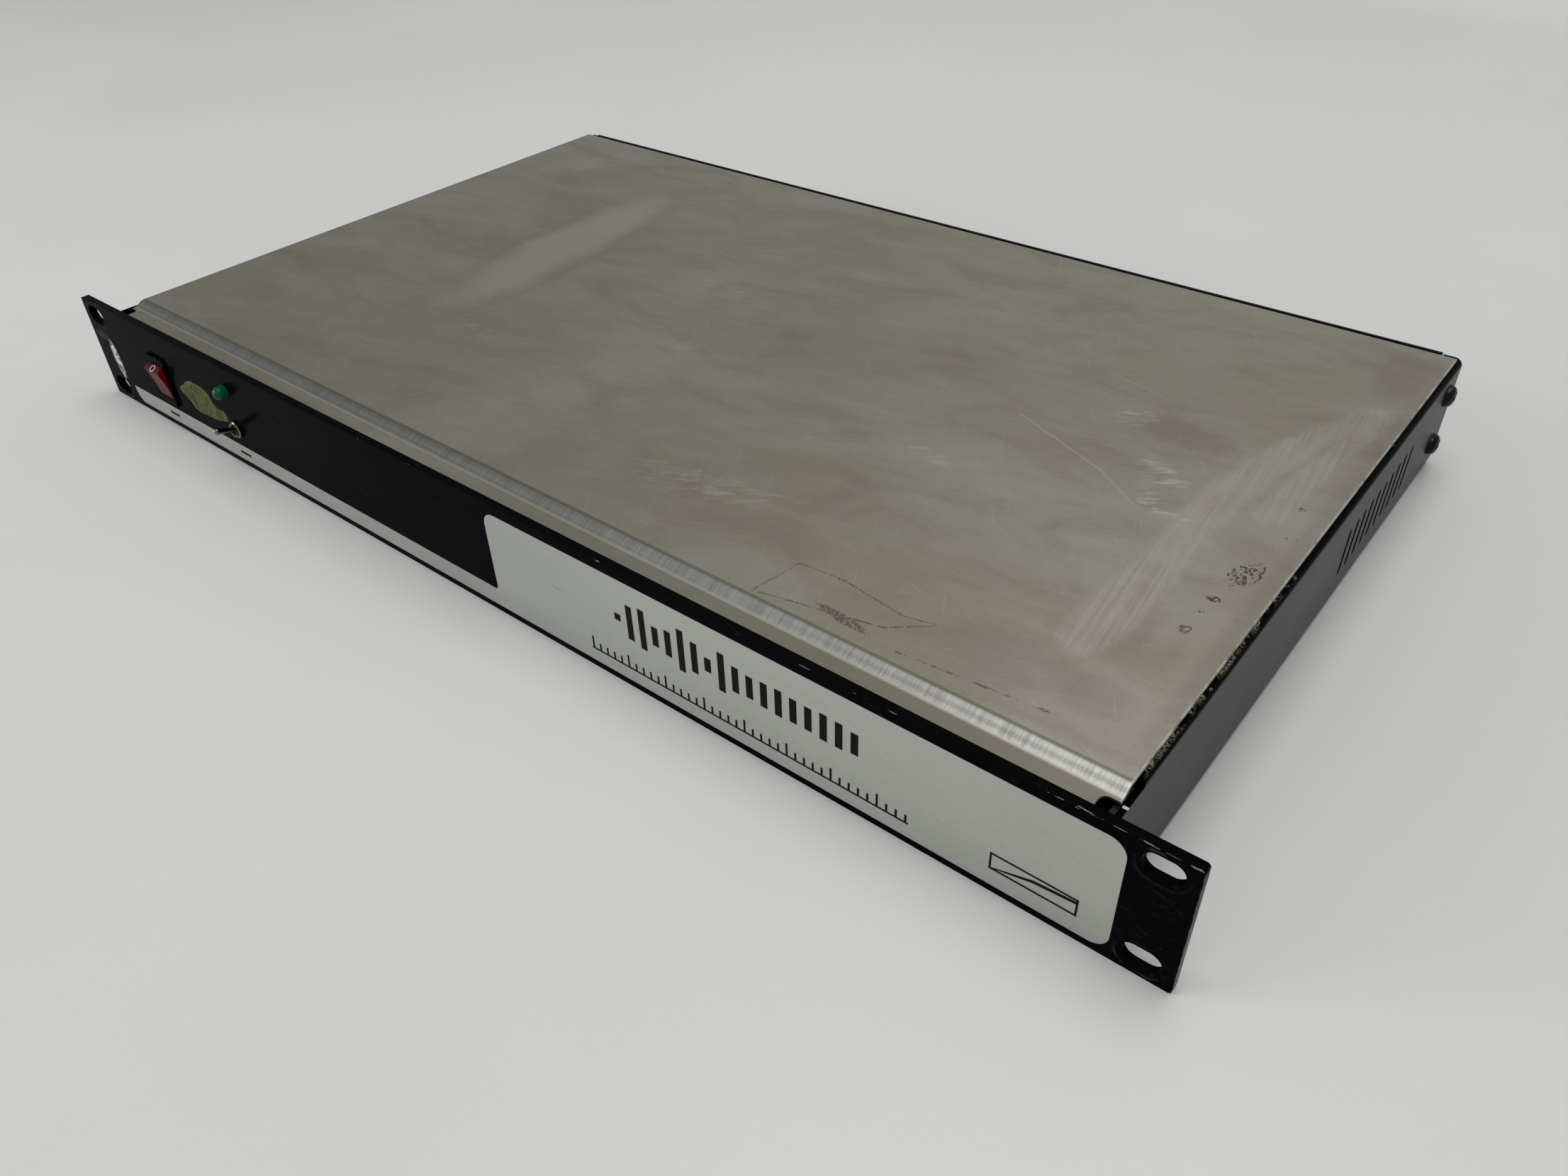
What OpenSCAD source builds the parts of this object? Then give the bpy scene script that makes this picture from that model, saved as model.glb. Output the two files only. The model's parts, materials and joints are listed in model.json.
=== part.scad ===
// Rack compressor, one rack unit high: a two-channel dynamics unit in a sheet-metal case.
// X runs along the front panel, Y runs from the panel to the rear and Z is up. The panel faces -Y.
// The origin is the middle of the four rack slots, on the panel's rear face. All sizes are in millimetres.

/* [Rack panel] */
// Panel width, a 19 inch rack size
panel_w = 482.6; // [480:0.1:484]
// Panel height, one rack unit
panel_h = 43.66; // [43.4:0.01:44.4]
// Panel thickness
panel_t = 3; // [2.5:0.1:4]
// Radius of the panel's corners
panel_corner_r = 1.2; // [0.5:0.1:3]
// Distance between the left and right rack slots
slot_span_x = 465.1; // [465:0.1:465.2]
// Distance between the upper and lower rack slots
slot_span_z = 31.75; // [31.7:0.01:31.8]
// Rack slot length, end to end
slot_len = 10.4; // [9:0.1:13]
// Rack slot width
slot_wid = 7; // [6.5:0.1:7.2]

/* [Case] */
// Case width over the side panels
case_w = 439; // [430:1:446]
// Depth from the panel's rear face to the back of the side panels
case_d = 265.4; // [255:0.1:320]
// Height of the side panels
side_h = 42.4; // [42.2:0.1:42.6]
// Thickness of the painted sheet
sheet_t = 1.5; // [1.2:0.1:1.8]
// Outer radius of the sheet's bends
bend_r = 3; // [2.5:0.1:4]
// Distance between the centres of the vent slots
vent_pitch = 6.71; // [6:0.01:7]
// Number of vent slots in each side panel
vent_count = 10; // [4:1:12]
// Length of a vent slot
vent_len = 17.5; // [12:0.5:20]

/* [Top cover] */
// Cover width
cover_w = 435.8; // [434:0.1:437]
// Cover sheet thickness
cover_t = 1; // [0.8:0.1:1]
// Drop from the main plane to the front ledge
ledge_drop = 1.8; // [1:0.1:2.5]
// Where the ledge ends and the joggle begins
joggle_front = 6.6; // [6.2:0.1:8]
// Where the joggle meets the main plane
joggle_rear = 12; // [11:0.1:13]
// Rear edge of the cover
cover_rear = 262.2; // [260:0.1:262.5]

/* [Printed field] */
// Left edge of the tall bare-metal field
field_left = 9.5; // [0:0.5:60]
// Right edge of the field
field_right = 224.7; // [200:0.1:225]
// Top edge of the field
field_top = 40.3; // [36:0.1:41]
// Bottom edge of the field and its strip
field_bottom = 2.6; // [2:0.1:4]
// Left end of the strip
strip_left = -221; // [-224:1:-210]
// Top edge of the strip
strip_top = 9.4; // [8:0.1:12]
// Corner radius of the field
field_r = 5; // [3:0.1:5]

/* [Front controls] */
// Rocker switch centre along the panel
rocker_x = -190; // [-200:1:-180]
// Width of the rocker's bezel
bezel_w = 13; // [12.6:0.1:15]
// Height of the rocker's bezel
bezel_h = 20.8; // [20:0.1:21]
// Turn of the rocker between its two positions, degrees
rocker_throw = 25; // [20:1:26]
// Lamp and toggle centre along the panel
lamp_x = -139; // [-150:1:-120]
// Lamp height above the panel's lower edge
lamp_z = 33.3; // [30:0.1:35]
// Lamp lens radius
lamp_r = 2.5; // [2:0.1:3]
// Toggle height above the panel's lower edge
toggle_z = 17; // [15:0.1:20]
// Turn of the toggle lever between its two positions, degrees
toggle_throw = 34; // [24:1:36]
// Length of the toggle lever in front of its bushing
lever_len = 7.2; // [6:0.1:9]

/* [Rear connectors] */
// Mains inlet centre
inlet_x = -182; // [-185:1:-175]
// Fuse holder centre
fuse_x = -134; // [-138:1:-130]
// Earth stud centre
earth_x = -108; // [-112:1:-100]
// Centres of the two audio outputs
outputs_x = [20, 62];
// Centres of the two audio inputs
inputs_x = [122, 164];
// Height of the connectors' centres above the panel's lower edge
port_z = 22; // [21.5:0.1:22.5]

/* [Boards and supply] */
// Main board width
board_w = 292; // [260:1:300]
// Main board depth
board_d = 190; // [150:1:195]
// Main board centre along the panel
board_x = 62; // [55:1:65]
// Front edge of the main board
board_y = 26; // [20:1:30]
// Mains transformer centre along the panel
core_x = -150; // [-156:1:-146]
// Mains transformer centre from the panel
core_y = 150; // [130:1:160]

/* [Hidden] */
$fn = 32;
eps = 0.01;

mid_z = panel_h / 2;
side_x = case_w / 2;
inner_x = side_x - sheet_t;
fold_x = inner_x - 0.3;
tray_x = side_x - bend_r - 0.2;
tray_z = sheet_t;
tray_t = 1.2;
floor_z = tray_z + tray_t;
cover_top = side_h + cover_t;
field_skin = 0.12;
mark_skin = 0.05;
back_in = case_d - 2;
back_out = back_in + sheet_t;
slot_chamfer = 0.5;
side_notch_d = 15.5;
side_notch_z = 39.4;
side_flange = 9;
vent_first_y = 160.6;
vent_low_z = 11.4;
vent_wid = 2.4;
side_screw_y = case_d - 9.4;
side_screw_zs = [12.6, 32.2];
bottom_screw_x = side_x - 7;
bottom_screw_ys = [30, 130, 230];
rear_lip_x = 212.5;
rear_lip_d = 9;
rear_lip_r = 0.5;
cover_notch_x = 213.4;
cover_notch_y = 6;
cover_notch_r = 2;

bezel_t = 1.2;
rocker_r = 7.5;
rocker_gap = 0.28;
rocker_w = 9.6;
pivot_y = -1.2;
rocker_face = 3.75;
rocker_back = 1.4;
switch_w = 12.2;
switch_h = 18.8;
switch_d = 17;
rocker_pin_r = 1;

lamp_dome_y = -5.1;
bushing_r = 2.5;
nut_r = 3.4;
nut_t = 1.5;
bushing_out = 2.1;
lever_pivot_y = -2.6;
pivot_r = 1.2;
pivot_w = 1.8;
lever_bore_r = 1.75;
toggle_body_size = [8, 9, 13];
lever_root_r = 0.85;
lever_tip_r = 1.2;

flange_w = 26;
flange_h = 31;
flange_t = 1.6;
barrel_r = 11.5;
socket_r = 9.6;
plug_core_r = 7.8;
pin_circle_r = 5;
pin_angles = [90, 210, 330];
port_screw = [9.5, 12];
latch_z = 12.5;
latch_travel = 1.2;
inlet_hole = [27.2, 19.6];
inlet_flange = [50, 24];
inlet_cavity = [24.4, 16.6];
inlet_depth = 16;
inlet_screw_x = 20;
inlet_pins_at = [[-7, 1.5], [0, 5.5], [7, 1.5]];
fuse_bore_r = 3.9;
fuse_body_r = 6;
earth_r = 2;

pillar_h = 6;
board_z = floor_z + pillar_h;
board_t = 1.6;
board_top = board_z + board_t;
card_xs = [20, 120];
card_t = 1.6;
card_h = 24;
card_y0 = 62;
card_len = 118;
core_size = [54, 64, 32];
core_z = floor_z + 2;
pillar_x = board_w / 2 - 8;
stud_xs = [-212, -100, 40, 212];
stud_r = 1.5;

// Everything is drawn with Z = 0 at the panel's lower edge, then lowered to the rack slots' middle.
module at_base() {
    translate([0, 0, -mid_z])
        children();
}

// A shape drawn in X and Z, made solid from y0 to y1.
module slab_y(y0, y1) {
    translate([0, y1, 0])
        rotate([90, 0, 0])
            linear_extrude(y1 - y0)
                children();
}

// A shape drawn in Y and Z, made solid from x0 to x1.
module slab_x(x0, x1) {
    translate([x0, 0, 0])
        rotate([90, 0, 90])
            linear_extrude(x1 - x0)
                children();
}

// A shape drawn in X and Y, made solid from z0 to z1.
module slab_z(z0, z1) {
    translate([0, 0, z0])
        linear_extrude(z1 - z0)
            children();
}

// A round bar along Y, with its own radius at each end.
module bar_y(y0, y1, front_r, rear_r) {
    translate([0, y1, 0])
        rotate([90, 0, 0])
            cylinder(h = y1 - y0, r1 = rear_r, r2 = front_r);
}

// A centred box that starts at z0.
module block(x, y, z0, size) {
    translate([x - size[0] / 2, y - size[1] / 2, z0])
        cube(size);
}

module round_rect(w, h, r) {
    square([w - 2 * r, h], center = true);
    square([w, h - 2 * r], center = true);
    for (sx = [-1, 1], sy = [-1, 1])
        translate([sx * (w / 2 - r), sy * (h / 2 - r)])
            circle(r);
}

// A slot outline, long in its first direction.
module obround(len, wid) {
    square([len - wid, wid], center = true);
    for (sx = [-1, 1])
        translate([sx * (len - wid) / 2, 0])
            circle(wid / 2);
}

// Domed pan head along +Z, standing on Z = 0, with a cross recess.
module pan_head(r, h) {
    difference() {
        rotate_extrude($fn = 24)
            polygon(concat([[0, 0]], [for (a = [0 : 18 : 90]) [r * pow(cos(a), 0.6), h * sin(a)]]));
        for (turn = [0, 90])
            rotate([0, 0, turn])
                translate([0, 0, h])
                    cube([r * 1.1, 0.28 * r, h], center = true);
    }
}

module hex_nut(across, t, bore) {
    difference() {
        cylinder(h = t, r = across / sqrt(3), $fn = 6);
        translate([0, 0, -eps])
            cylinder(h = t + 2 * eps, r = bore);
    }
}

// Lays a shape that stands on Z = 0 down, so that it points rearwards.
module face_rear() {
    rotate([-90, 0, 0])
        children();
}

module front_panel() {
    color([0.045, 0.048, 0.055])
        at_base()
            difference() {
                slab_y(-panel_t, 0)
                    translate([0, mid_z])
                        round_rect(panel_w, panel_h, panel_corner_r);
                for (sx = [-1, 1], sz = [-1, 1])
                    translate([sx * slot_span_x / 2, 0, mid_z + sz * slot_span_z / 2])
                        rack_slot();
                slab_y(-panel_t - eps, eps)
                    translate([rocker_x, mid_z])
                        square([switch_w + 0.2, switch_h + 0.2], center = true);
                translate([lamp_x, 0, lamp_z])
                    bar_y(-panel_t - eps, eps, lamp_r + 0.1, lamp_r + 0.1);
                translate([lamp_x, 0, toggle_z])
                    bar_y(-panel_t - eps, eps, bushing_r + 0.1, bushing_r + 0.1);
            }
}

// Cutter for one rack slot with a small chamfer at the front.
module rack_slot() {
    r = slot_wid / 2;
    slab_y(-panel_t - eps, eps)
        obround(slot_len, slot_wid);
    for (sx = [-1, 1])
        translate([sx * (slot_len - slot_wid) / 2, 0, 0])
            bar_y(-panel_t - eps, -panel_t + slot_chamfer, r + slot_chamfer, r);
    slab_x(-(slot_len - slot_wid) / 2, (slot_len - slot_wid) / 2)
        polygon([
            [-panel_t - eps, r + slot_chamfer],
            [-panel_t + slot_chamfer, r],
            [-panel_t + slot_chamfer, -r],
            [-panel_t - eps, -r - slot_chamfer]
        ]);
}

function reversed(list) = [for (i = [len(list) - 1 : -1 : 0]) list[i]];

// Points of a round corner about a centre, from one angle to another.
function arc(centre, r, a0, a1, steps = 8) =
    [for (i = [0 : steps]) centre + r * [cos(a0 + (a1 - a0) * i / steps), sin(a0 + (a1 - a0) * i / steps)]];

// Bare metal left by the paint: a tall field at the right and a strip along the lower edge.
module printed_field() {
    fillet = 1.5;
    low = field_bottom + field_r;
    color([0.62, 0.63, 0.61])
        at_base()
            slab_y(-panel_t - field_skin, -panel_t)
                polygon(concat(
                    arc([strip_left + field_r, low], field_r, 180, 270),
                    arc([field_right - field_r, low], field_r, 270, 360),
                    arc([field_right - field_r, field_top - field_r], field_r, 0, 90),
                    arc([field_left + field_r, field_top - field_r], field_r, 90, 180),
                    arc([field_left - fillet, strip_top + fillet], fillet, 0, -90),
                    [[strip_left, strip_top]]
                ));
}

// Plain printed signs: level bars before and after compression, a row of scale ticks,
// a sign of the gain curve and two captions as plain dashes. None of them is lettering.
module printed_marks() {
    bar_count = 18;
    bar_x = 66;
    bar_pitch = 5;
    tick_count = 39;
    color([0.05, 0.05, 0.055])
        at_base()
            slab_y(-panel_t - field_skin - mark_skin, -panel_t - field_skin) {
                for (i = [0 : bar_count - 1])
                    translate([bar_x + i * bar_pitch, 26])
                        square([2.4, bar_height(i, bar_count)], center = true);
                for (i = [0 : tick_count - 1])
                    translate([53 + i * 3, 8])
                        square([0.7, i % 5 == 0 ? 4.4 : 2.6]);
                translate([52.6, 7.4])
                    square([(tick_count - 1) * 3 + 1.6, 0.6]);
                translate([204, 11.4])
                    gain_sign(24, 6);
                for (x = [-191, -139])
                    translate([x, (field_bottom + strip_top) / 2])
                        square([7, 1.1], center = true);
            }
}

// Bars that swing widely at the left and are evened out at the right.
function bar_height(i, count) =
    let (swing = 6.4 * abs(sin(i * 53)), level = 7.5)
    i < count / 2 ? 2.5 + 2 * swing : level + 0.3 * swing;

// An open frame with a bent line through it.
module gain_sign(w, h) {
    line = 0.6;
    difference() {
        square([w, h], center = true);
        square([w - 2 * line, h - 2 * line], center = true);
    }
    polygon([
        [-w / 2 + line, -h / 2 + line],
        [0, h / 5],
        [w / 2 - line, h / 5 + 1],
        [w / 2 - line, h / 5],
        [0, h / 5 - 1],
        [-w / 2 + 3 * line, -h / 2 + line]
    ]);
}

// The rocker's centre, on its pivot axis.
module at_rocker() {
    translate([rocker_x, pivot_y, mid_z])
        children();
}

module axis_x(len, r) {
    rotate([0, 90, 0])
        cylinder(h = len, r = r, center = true, $fn = 48);
}

module rocker_housing() {
    front = -panel_t - bezel_t;
    color([0.03, 0.03, 0.032])
        at_base()
            difference() {
                union() {
                    slab_y(front, -panel_t)
                        translate([rocker_x, mid_z])
                            round_rect(bezel_w, bezel_h, 1);
                    slab_y(-panel_t, switch_d)
                        translate([rocker_x, mid_z])
                            square([switch_w, switch_h], center = true);
                }
                at_rocker()
                    axis_x(rocker_w + 0.6, rocker_r + rocker_gap);
                at_rocker()
                    axis_x(rocker_w + 2, rocker_pin_r + 0.05);
            }
}

// A sector of a drum about the pivot, dished across its face, stored with its lower end pressed in.
module rocker() {
    face_r = 46;
    color([0.55, 0.03, 0.03])
        at_base()
            at_rocker()
                rotate([rocker_throw / 2, 0, 0]) {
                    difference() {
                        axis_x(rocker_w, rocker_r);
                        translate([0, -rocker_face - face_r, 0])
                            rotate([0, 90, 0])
                                cylinder(h = rocker_w + 2, r = face_r, center = true, $fn = 180);
                        translate([-rocker_w, rocker_back, -rocker_r - 1])
                            cube([2 * rocker_w, 2 * rocker_r, 2 * rocker_r + 2]);
                    }
                    axis_x(rocker_w + 1.6, rocker_pin_r);
                }
}

module rocker_lamp() {
    color([0.9, 0.55, 0.4])
        at_base()
            translate([rocker_x, 4, mid_z])
                axis_x(6, 1.5);
}

module rocker_tabs() {
    color([0.75, 0.73, 0.68])
        at_base()
            for (dz = [-6, 0, 6])
                block(rocker_x, switch_d + 4, mid_z + dz - 0.4, [4.8, 8, 0.8]);
}

module lamp_lens() {
    color([0.02, 0.45, 0.25])
        at_base()
            translate([lamp_x, 0, lamp_z]) {
                translate([0, lamp_dome_y, 0])
                    sphere(lamp_r);
                bar_y(lamp_dome_y, 0.5, lamp_r, lamp_r);
                bar_y(0, 1, 2.95, 2.95);
            }
}

module lamp_leads() {
    color([0.7, 0.7, 0.72])
        at_base()
            for (sx = [-1, 1])
                translate([lamp_x + sx * 1.27, 0, lamp_z])
                    bar_y(1, 14, 0.3, 0.3);
}

module toggle_body() {
    color([0.35, 0.05, 0.04])
        at_base()
            block(lamp_x, toggle_body_size[1] / 2, toggle_z - toggle_body_size[2] / 2, toggle_body_size);
}

// Threaded bushing with a conical mouth that the lever swings in.
module toggle_bushing() {
    front = -panel_t - bushing_out;
    color([0.8, 0.8, 0.8])
        at_base()
            translate([lamp_x, 0, toggle_z])
                difference() {
                    bar_y(front, 0, bushing_r, bushing_r);
                    bar_y(front - eps, lever_pivot_y - 1, 2.15, lever_bore_r);
                    bar_y(lever_pivot_y - 1 - eps, eps, lever_bore_r, lever_bore_r);
                }
}

module toggle_nut() {
    color([0.78, 0.78, 0.78])
        at_base()
            translate([lamp_x, 0, toggle_z])
                difference() {
                    union() {
                        bar_y(-panel_t - nut_t + 0.5, -panel_t, nut_r, nut_r);
                        bar_y(-panel_t - nut_t, -panel_t - nut_t + 0.5, nut_r - 0.5, nut_r);
                    }
                    bar_y(-panel_t - nut_t - eps, -panel_t + eps, bushing_r, bushing_r);
                }
}

// Bat lever, thicker at its tip, on a crosswise pivot barrel inside the bushing. It is stored tilted up.
module toggle_lever() {
    reach = lever_len + panel_t + bushing_out + lever_pivot_y;
    color([0.72, 0.72, 0.72])
        at_base()
            translate([lamp_x, lever_pivot_y, toggle_z])
                rotate([-toggle_throw / 2, 0, 0]) {
                    axis_x(pivot_w, pivot_r);
                    bar_y(-reach + lever_tip_r, 0, lever_tip_r, lever_root_r);
                    translate([0, -reach + lever_tip_r, 0])
                        sphere(lever_tip_r, $fn = 24);
                }
}

module toggle_lugs() {
    y0 = toggle_body_size[1];
    color([0.75, 0.73, 0.68])
        at_base()
            for (dz = [-4.7, 0, 4.7])
                block(lamp_x, y0 + 2, toggle_z + dz - 0.4, [2, 4, 0.8]);
}

// Inner front wall with its ends and foot folded rearwards, open behind the switches and the lamp.
module sub_panel() {
    wall_h = 36.6;
    color([0.05, 0.05, 0.05])
        at_base()
            difference() {
                union() {
                    slab_y(0, sheet_t)
                        translate([-fold_x, floor_z])
                            square([2 * fold_x, wall_h]);
                    for (sx = [-1, 1])
                        block(sx * (fold_x - sheet_t / 2), 7, floor_z, [sheet_t, 14, wall_h]);
                    block(0, 6, floor_z, [2 * fold_x, 12, sheet_t]);
                }
                slab_y(-eps, sheet_t + eps) {
                    translate([rocker_x, mid_z])
                        square([switch_w + 1, switch_h + 1], center = true);
                    translate([lamp_x, (lamp_z + toggle_z) / 2 - 1.4])
                        square([16, 28], center = true);
                }
                for (x = stud_xs)
                    translate([x, 0, mid_z])
                        bar_y(-eps, sheet_t + eps, stud_r + 0.1, stud_r + 0.1);
            }
}

module bottom_tray() {
    color([0.5, 0.5, 0.5])
        at_base()
            difference() {
                slab_z(tray_z, floor_z)
                    translate([-tray_x, 1])
                        square([2 * tray_x, back_in - 1]);
                for (i = [0 : 7])
                    slab_z(tray_z - eps, floor_z + eps)
                        translate([core_x - 28 + 8 * i, 60])
                            rotate(90)
                                obround(40, 3.2);
                for (sx = [-1, 1], y = bottom_screw_ys)
                    translate([sx * bottom_screw_x, y, 0])
                        cylinder(h = 10, r = 1.25);
            }
}

// Section of a side panel in X and Z: a web with a rounded bend to an inward flange at top and bottom.
module channel_section() {
    difference() {
        union() {
            translate([side_x - side_flange, 0])
                square([side_flange - bend_r, side_h]);
            translate([side_x - bend_r - eps, bend_r])
                square([bend_r + eps, side_h - 2 * bend_r]);
            for (z = [bend_r, side_h - bend_r])
                translate([side_x - bend_r, z])
                    circle(bend_r);
        }
        translate([side_x - side_flange - eps, sheet_t])
            square([side_flange - bend_r + eps, side_h - 2 * sheet_t]);
        translate([side_x - bend_r - 2 * eps, bend_r])
            square([bend_r - sheet_t + 2 * eps, side_h - 2 * bend_r]);
        for (z = [bend_r, side_h - bend_r])
            translate([side_x - bend_r, z])
                circle(bend_r - sheet_t);
    }
}

// Channel with a flange at the top and the bottom. The top one is notched at the front, out to notch_x.
module side_panel(notch_x) {
    at_base()
        difference() {
            slab_y(0, case_d)
                channel_section();
            translate([side_x - 25, -1, side_notch_z])
                cube([notch_x - side_x + 25, side_notch_d + 1, 10]);
            translate([rear_lip_x - 9.7, back_out - rear_lip_d - 0.3, side_h - bend_r])
                cube([10, rear_lip_d + 2, bend_r + 1]);
            slab_x(inner_x - eps, side_x + eps)
                for (i = [0 : vent_count - 1])
                    translate([vent_first_y + i * vent_pitch, vent_low_z + vent_len / 2])
                        rotate(90)
                            obround(vent_len, vent_wid);
            for (z = side_screw_zs)
                translate([side_x - 5, side_screw_y, z])
                    rotate([0, 90, 0])
                        cylinder(h = 10, r = 2.1);
            for (y = bottom_screw_ys)
                translate([bottom_screw_x, y, -eps]) {
                    cylinder(h = 5, r = 1.6);
                    cylinder(h = 1.3, r1 = 2.8, r2 = 1.6);
                }
        }
}

module side_panel_right() {
    color([0.06, 0.062, 0.065])
        side_panel(side_x + 1);
}

module side_panel_left() {
    color([0.06, 0.062, 0.065])
        mirror([1, 0, 0])
            side_panel(inner_x);
}

// One face of the cover's joggle, offset from the middle of the sheet: a bend up, then one level again.
function joggle(offset, steps = 8) =
    let (run = joggle_rear - joggle_front)
    let (turn = 2 * atan(ledge_drop / run))
    let (r = (run ^ 2 + ledge_drop ^ 2) / (4 * ledge_drop))
    let (mid_top = cover_top - cover_t / 2)
    concat(
        arc([joggle_front, mid_top - ledge_drop + r], r - offset, -90, turn - 90, steps),
        arc([joggle_rear, mid_top - r], r + offset, 90 + turn * (1 - 1 / steps), 90, steps - 1)
    );

// Flat sheet whose front edge steps down through a joggle to a narrow ledge, notched at both ends.
module top_cover() {
    under = cover_top - cover_t;
    color([0.47, 0.45, 0.42])
        at_base()
            difference() {
                slab_x(-cover_w / 2, cover_w / 2)
                    polygon(concat(
                        [[0.3, cover_top - ledge_drop]],
                        joggle(cover_t / 2),
                        [[cover_rear, cover_top], [cover_rear, under]],
                        reversed(joggle(-cover_t / 2)),
                        [[0.3, under - ledge_drop]]
                    ));
                for (sx = [-1, 1])
                    scale([sx, 1, 1])
                        cover_notch();
            }
}

module cover_notch() {
    slab_z(cover_top - 6, cover_top + 1)
        union() {
            translate([cover_notch_x, -1])
                square([10, cover_notch_y + 1 - cover_notch_r]);
            translate([cover_notch_x + cover_notch_r, cover_notch_y - cover_notch_r - eps])
                square([10, cover_notch_r + eps]);
            translate([cover_notch_x + cover_notch_r, cover_notch_y - cover_notch_r])
                circle(cover_notch_r);
        }
}

module rear_panel() {
    color([0.045, 0.045, 0.05])
        at_base()
            difference() {
                union() {
                    slab_z(floor_z, side_h - bend_r)
                        rear_outline();
                    slab_x(-rear_lip_x, rear_lip_x)
                        rear_lip();
                    block(0, back_in - 5, floor_z, [2 * fold_x - 8, 10, sheet_t]);
                }
                rear_cutouts();
                for (sx = [-1, 1], z = side_screw_zs)
                    translate([sx * inner_x, side_screw_y, z])
                        rotate([0, 90, 0])
                            cylinder(h = 8, r = 2, center = true);
            }
}

// Plan of the rear panel: a wide web with its ends folded forwards.
module rear_outline() {
    fold = 15;
    translate([-fold_x + bend_r, back_in])
        square([2 * (fold_x - bend_r), sheet_t]);
    for (sx = [-1, 1]) {
        translate([sx * (fold_x - sheet_t / 2), back_out - bend_r - (fold - bend_r) / 2])
            square([sheet_t, fold - bend_r], center = true);
        translate([sx * (fold_x - bend_r), back_out - bend_r])
            scale([sx, 1])
                bend_quarter();
    }
}

// A quarter ring of bent sheet.
module bend_quarter() {
    intersection() {
        difference() {
            circle(bend_r);
            circle(bend_r - sheet_t);
        }
        square(bend_r);
    }
}

// Section of the rear panel's top in Y and Z: the web stands flush with the cover, and a flange
// runs forwards beneath it.
module rear_lip() {
    web_low = side_h - bend_r - 0.5;
    translate([back_in, web_low])
        square([sheet_t, cover_top - rear_lip_r - web_low]);
    translate([back_in, cover_top - 2 * rear_lip_r])
        square([sheet_t - rear_lip_r, 2 * rear_lip_r]);
    translate([back_out - rear_lip_r, cover_top - rear_lip_r])
        circle(rear_lip_r);
    translate([back_out - rear_lip_d, side_h - sheet_t])
        square([rear_lip_d - sheet_t + eps, sheet_t]);
}

module rear_cutouts() {
    y0 = back_in - 1;
    y1 = back_out + 1;
    slab_y(y0, y1) {
        translate([inlet_x, port_z])
            square(inlet_hole, center = true);
        for (sx = [-1, 1])
            translate([inlet_x + sx * inlet_screw_x, port_z])
                circle(1.7);
        translate([fuse_x, port_z])
            circle(fuse_body_r + 0.2);
        translate([earth_x, port_z])
            circle(earth_r + 0.1);
        for (x = concat(outputs_x, inputs_x)) {
            translate([x, port_z])
                circle(barrel_r + 0.3);
            for (s = [-1, 1])
                translate([x + s * port_screw[0], port_z + s * port_screw[1]])
                    circle(1.6);
        }
        for (x = inputs_x)
            translate([x, port_z + latch_z])
                square([10, 4.6], center = true);
    }
}

module side_screws() {
    color([0.03, 0.03, 0.03])
        at_base()
            for (sx = [-1, 1], z = side_screw_zs)
                translate([sx * side_x, side_screw_y, z])
                    rotate([0, sx * 90, 0]) {
                        pan_head(4, 2.7);
                        translate([0, 0, -7])
                            cylinder(h = 7 + eps, r = 1.9);
                    }
}

module bottom_screws() {
    color([0.7, 0.7, 0.7])
        at_base()
            for (sx = [-1, 1], y = bottom_screw_ys)
                translate([sx * bottom_screw_x, y, 0]) {
                    cylinder(h = 1.3, r1 = 2.75, r2 = 1.5);
                    translate([0, 0, 1.2])
                        cylinder(h = 4.5, r = 1.25);
                }
}

module panel_studs() {
    color([0.7, 0.7, 0.72])
        at_base()
            for (x = stud_xs)
                translate([x, 0, mid_z])
                    bar_y(0, 8, stud_r, stud_r);
}

module panel_nuts() {
    color([0.72, 0.7, 0.62])
        at_base()
            for (x = stud_xs)
                translate([x, sheet_t, mid_z])
                    face_rear()
                        hex_nut(5.5, 2.4, stud_r);
}

// Spring clips on the cover's underside, against the side panels' flanges.
module cover_clips() {
    z1 = cover_top - cover_t;
    color([0.6, 0.6, 0.62])
        at_base()
            for (sx = [-1, 1], y = [60, 200]) {
                block(sx * (side_x - side_flange - 4.5), y, z1 - 0.6, [8, 12, 0.6]);
                block(sx * (side_x - side_flange - 0.8), y, z1 - 5, [0.6, 12, 5]);
            }
}

module mains_inlet() {
    color([0.03, 0.03, 0.032])
        at_base()
            difference() {
                union() {
                    slab_y(back_out, back_out + 2.5)
                        translate([inlet_x, port_z])
                            round_rect(inlet_flange[0], inlet_flange[1], 3);
                    slab_y(back_out - inlet_depth, back_out)
                        translate([inlet_x, port_z])
                            square(inlet_hole - [0.2, 0.2], center = true);
                }
                slab_y(back_out - inlet_depth + 2, back_out + 3)
                    translate([inlet_x, port_z])
                        square(inlet_cavity, center = true);
                inlet_pin_set();
                for (sx = [-1, 1])
                    translate([inlet_x + sx * inlet_screw_x, 0, port_z])
                        bar_y(back_out - eps, back_out + 3, 1.7, 1.7);
            }
}

// The three flat pins of the inlet. The earth pin sits above the other two.
module inlet_pin_set() {
    for (pin = inlet_pins_at)
        block(inlet_x + pin[0], back_out - 13.5, port_z + pin[1] - 2, [2, 21, 4]);
}

module inlet_pins() {
    color([0.8, 0.76, 0.6])
        at_base()
            inlet_pin_set();
}

module inlet_screws() {
    color([0.7, 0.7, 0.72])
        at_base()
            for (sx = [-1, 1])
                translate([inlet_x + sx * inlet_screw_x, back_out + 2.5, port_z])
                    face_rear() {
                        pan_head(2.7, 1.6);
                        translate([0, 0, -7])
                            cylinder(h = 7 + eps, r = 1.5);
                    }
}

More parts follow.
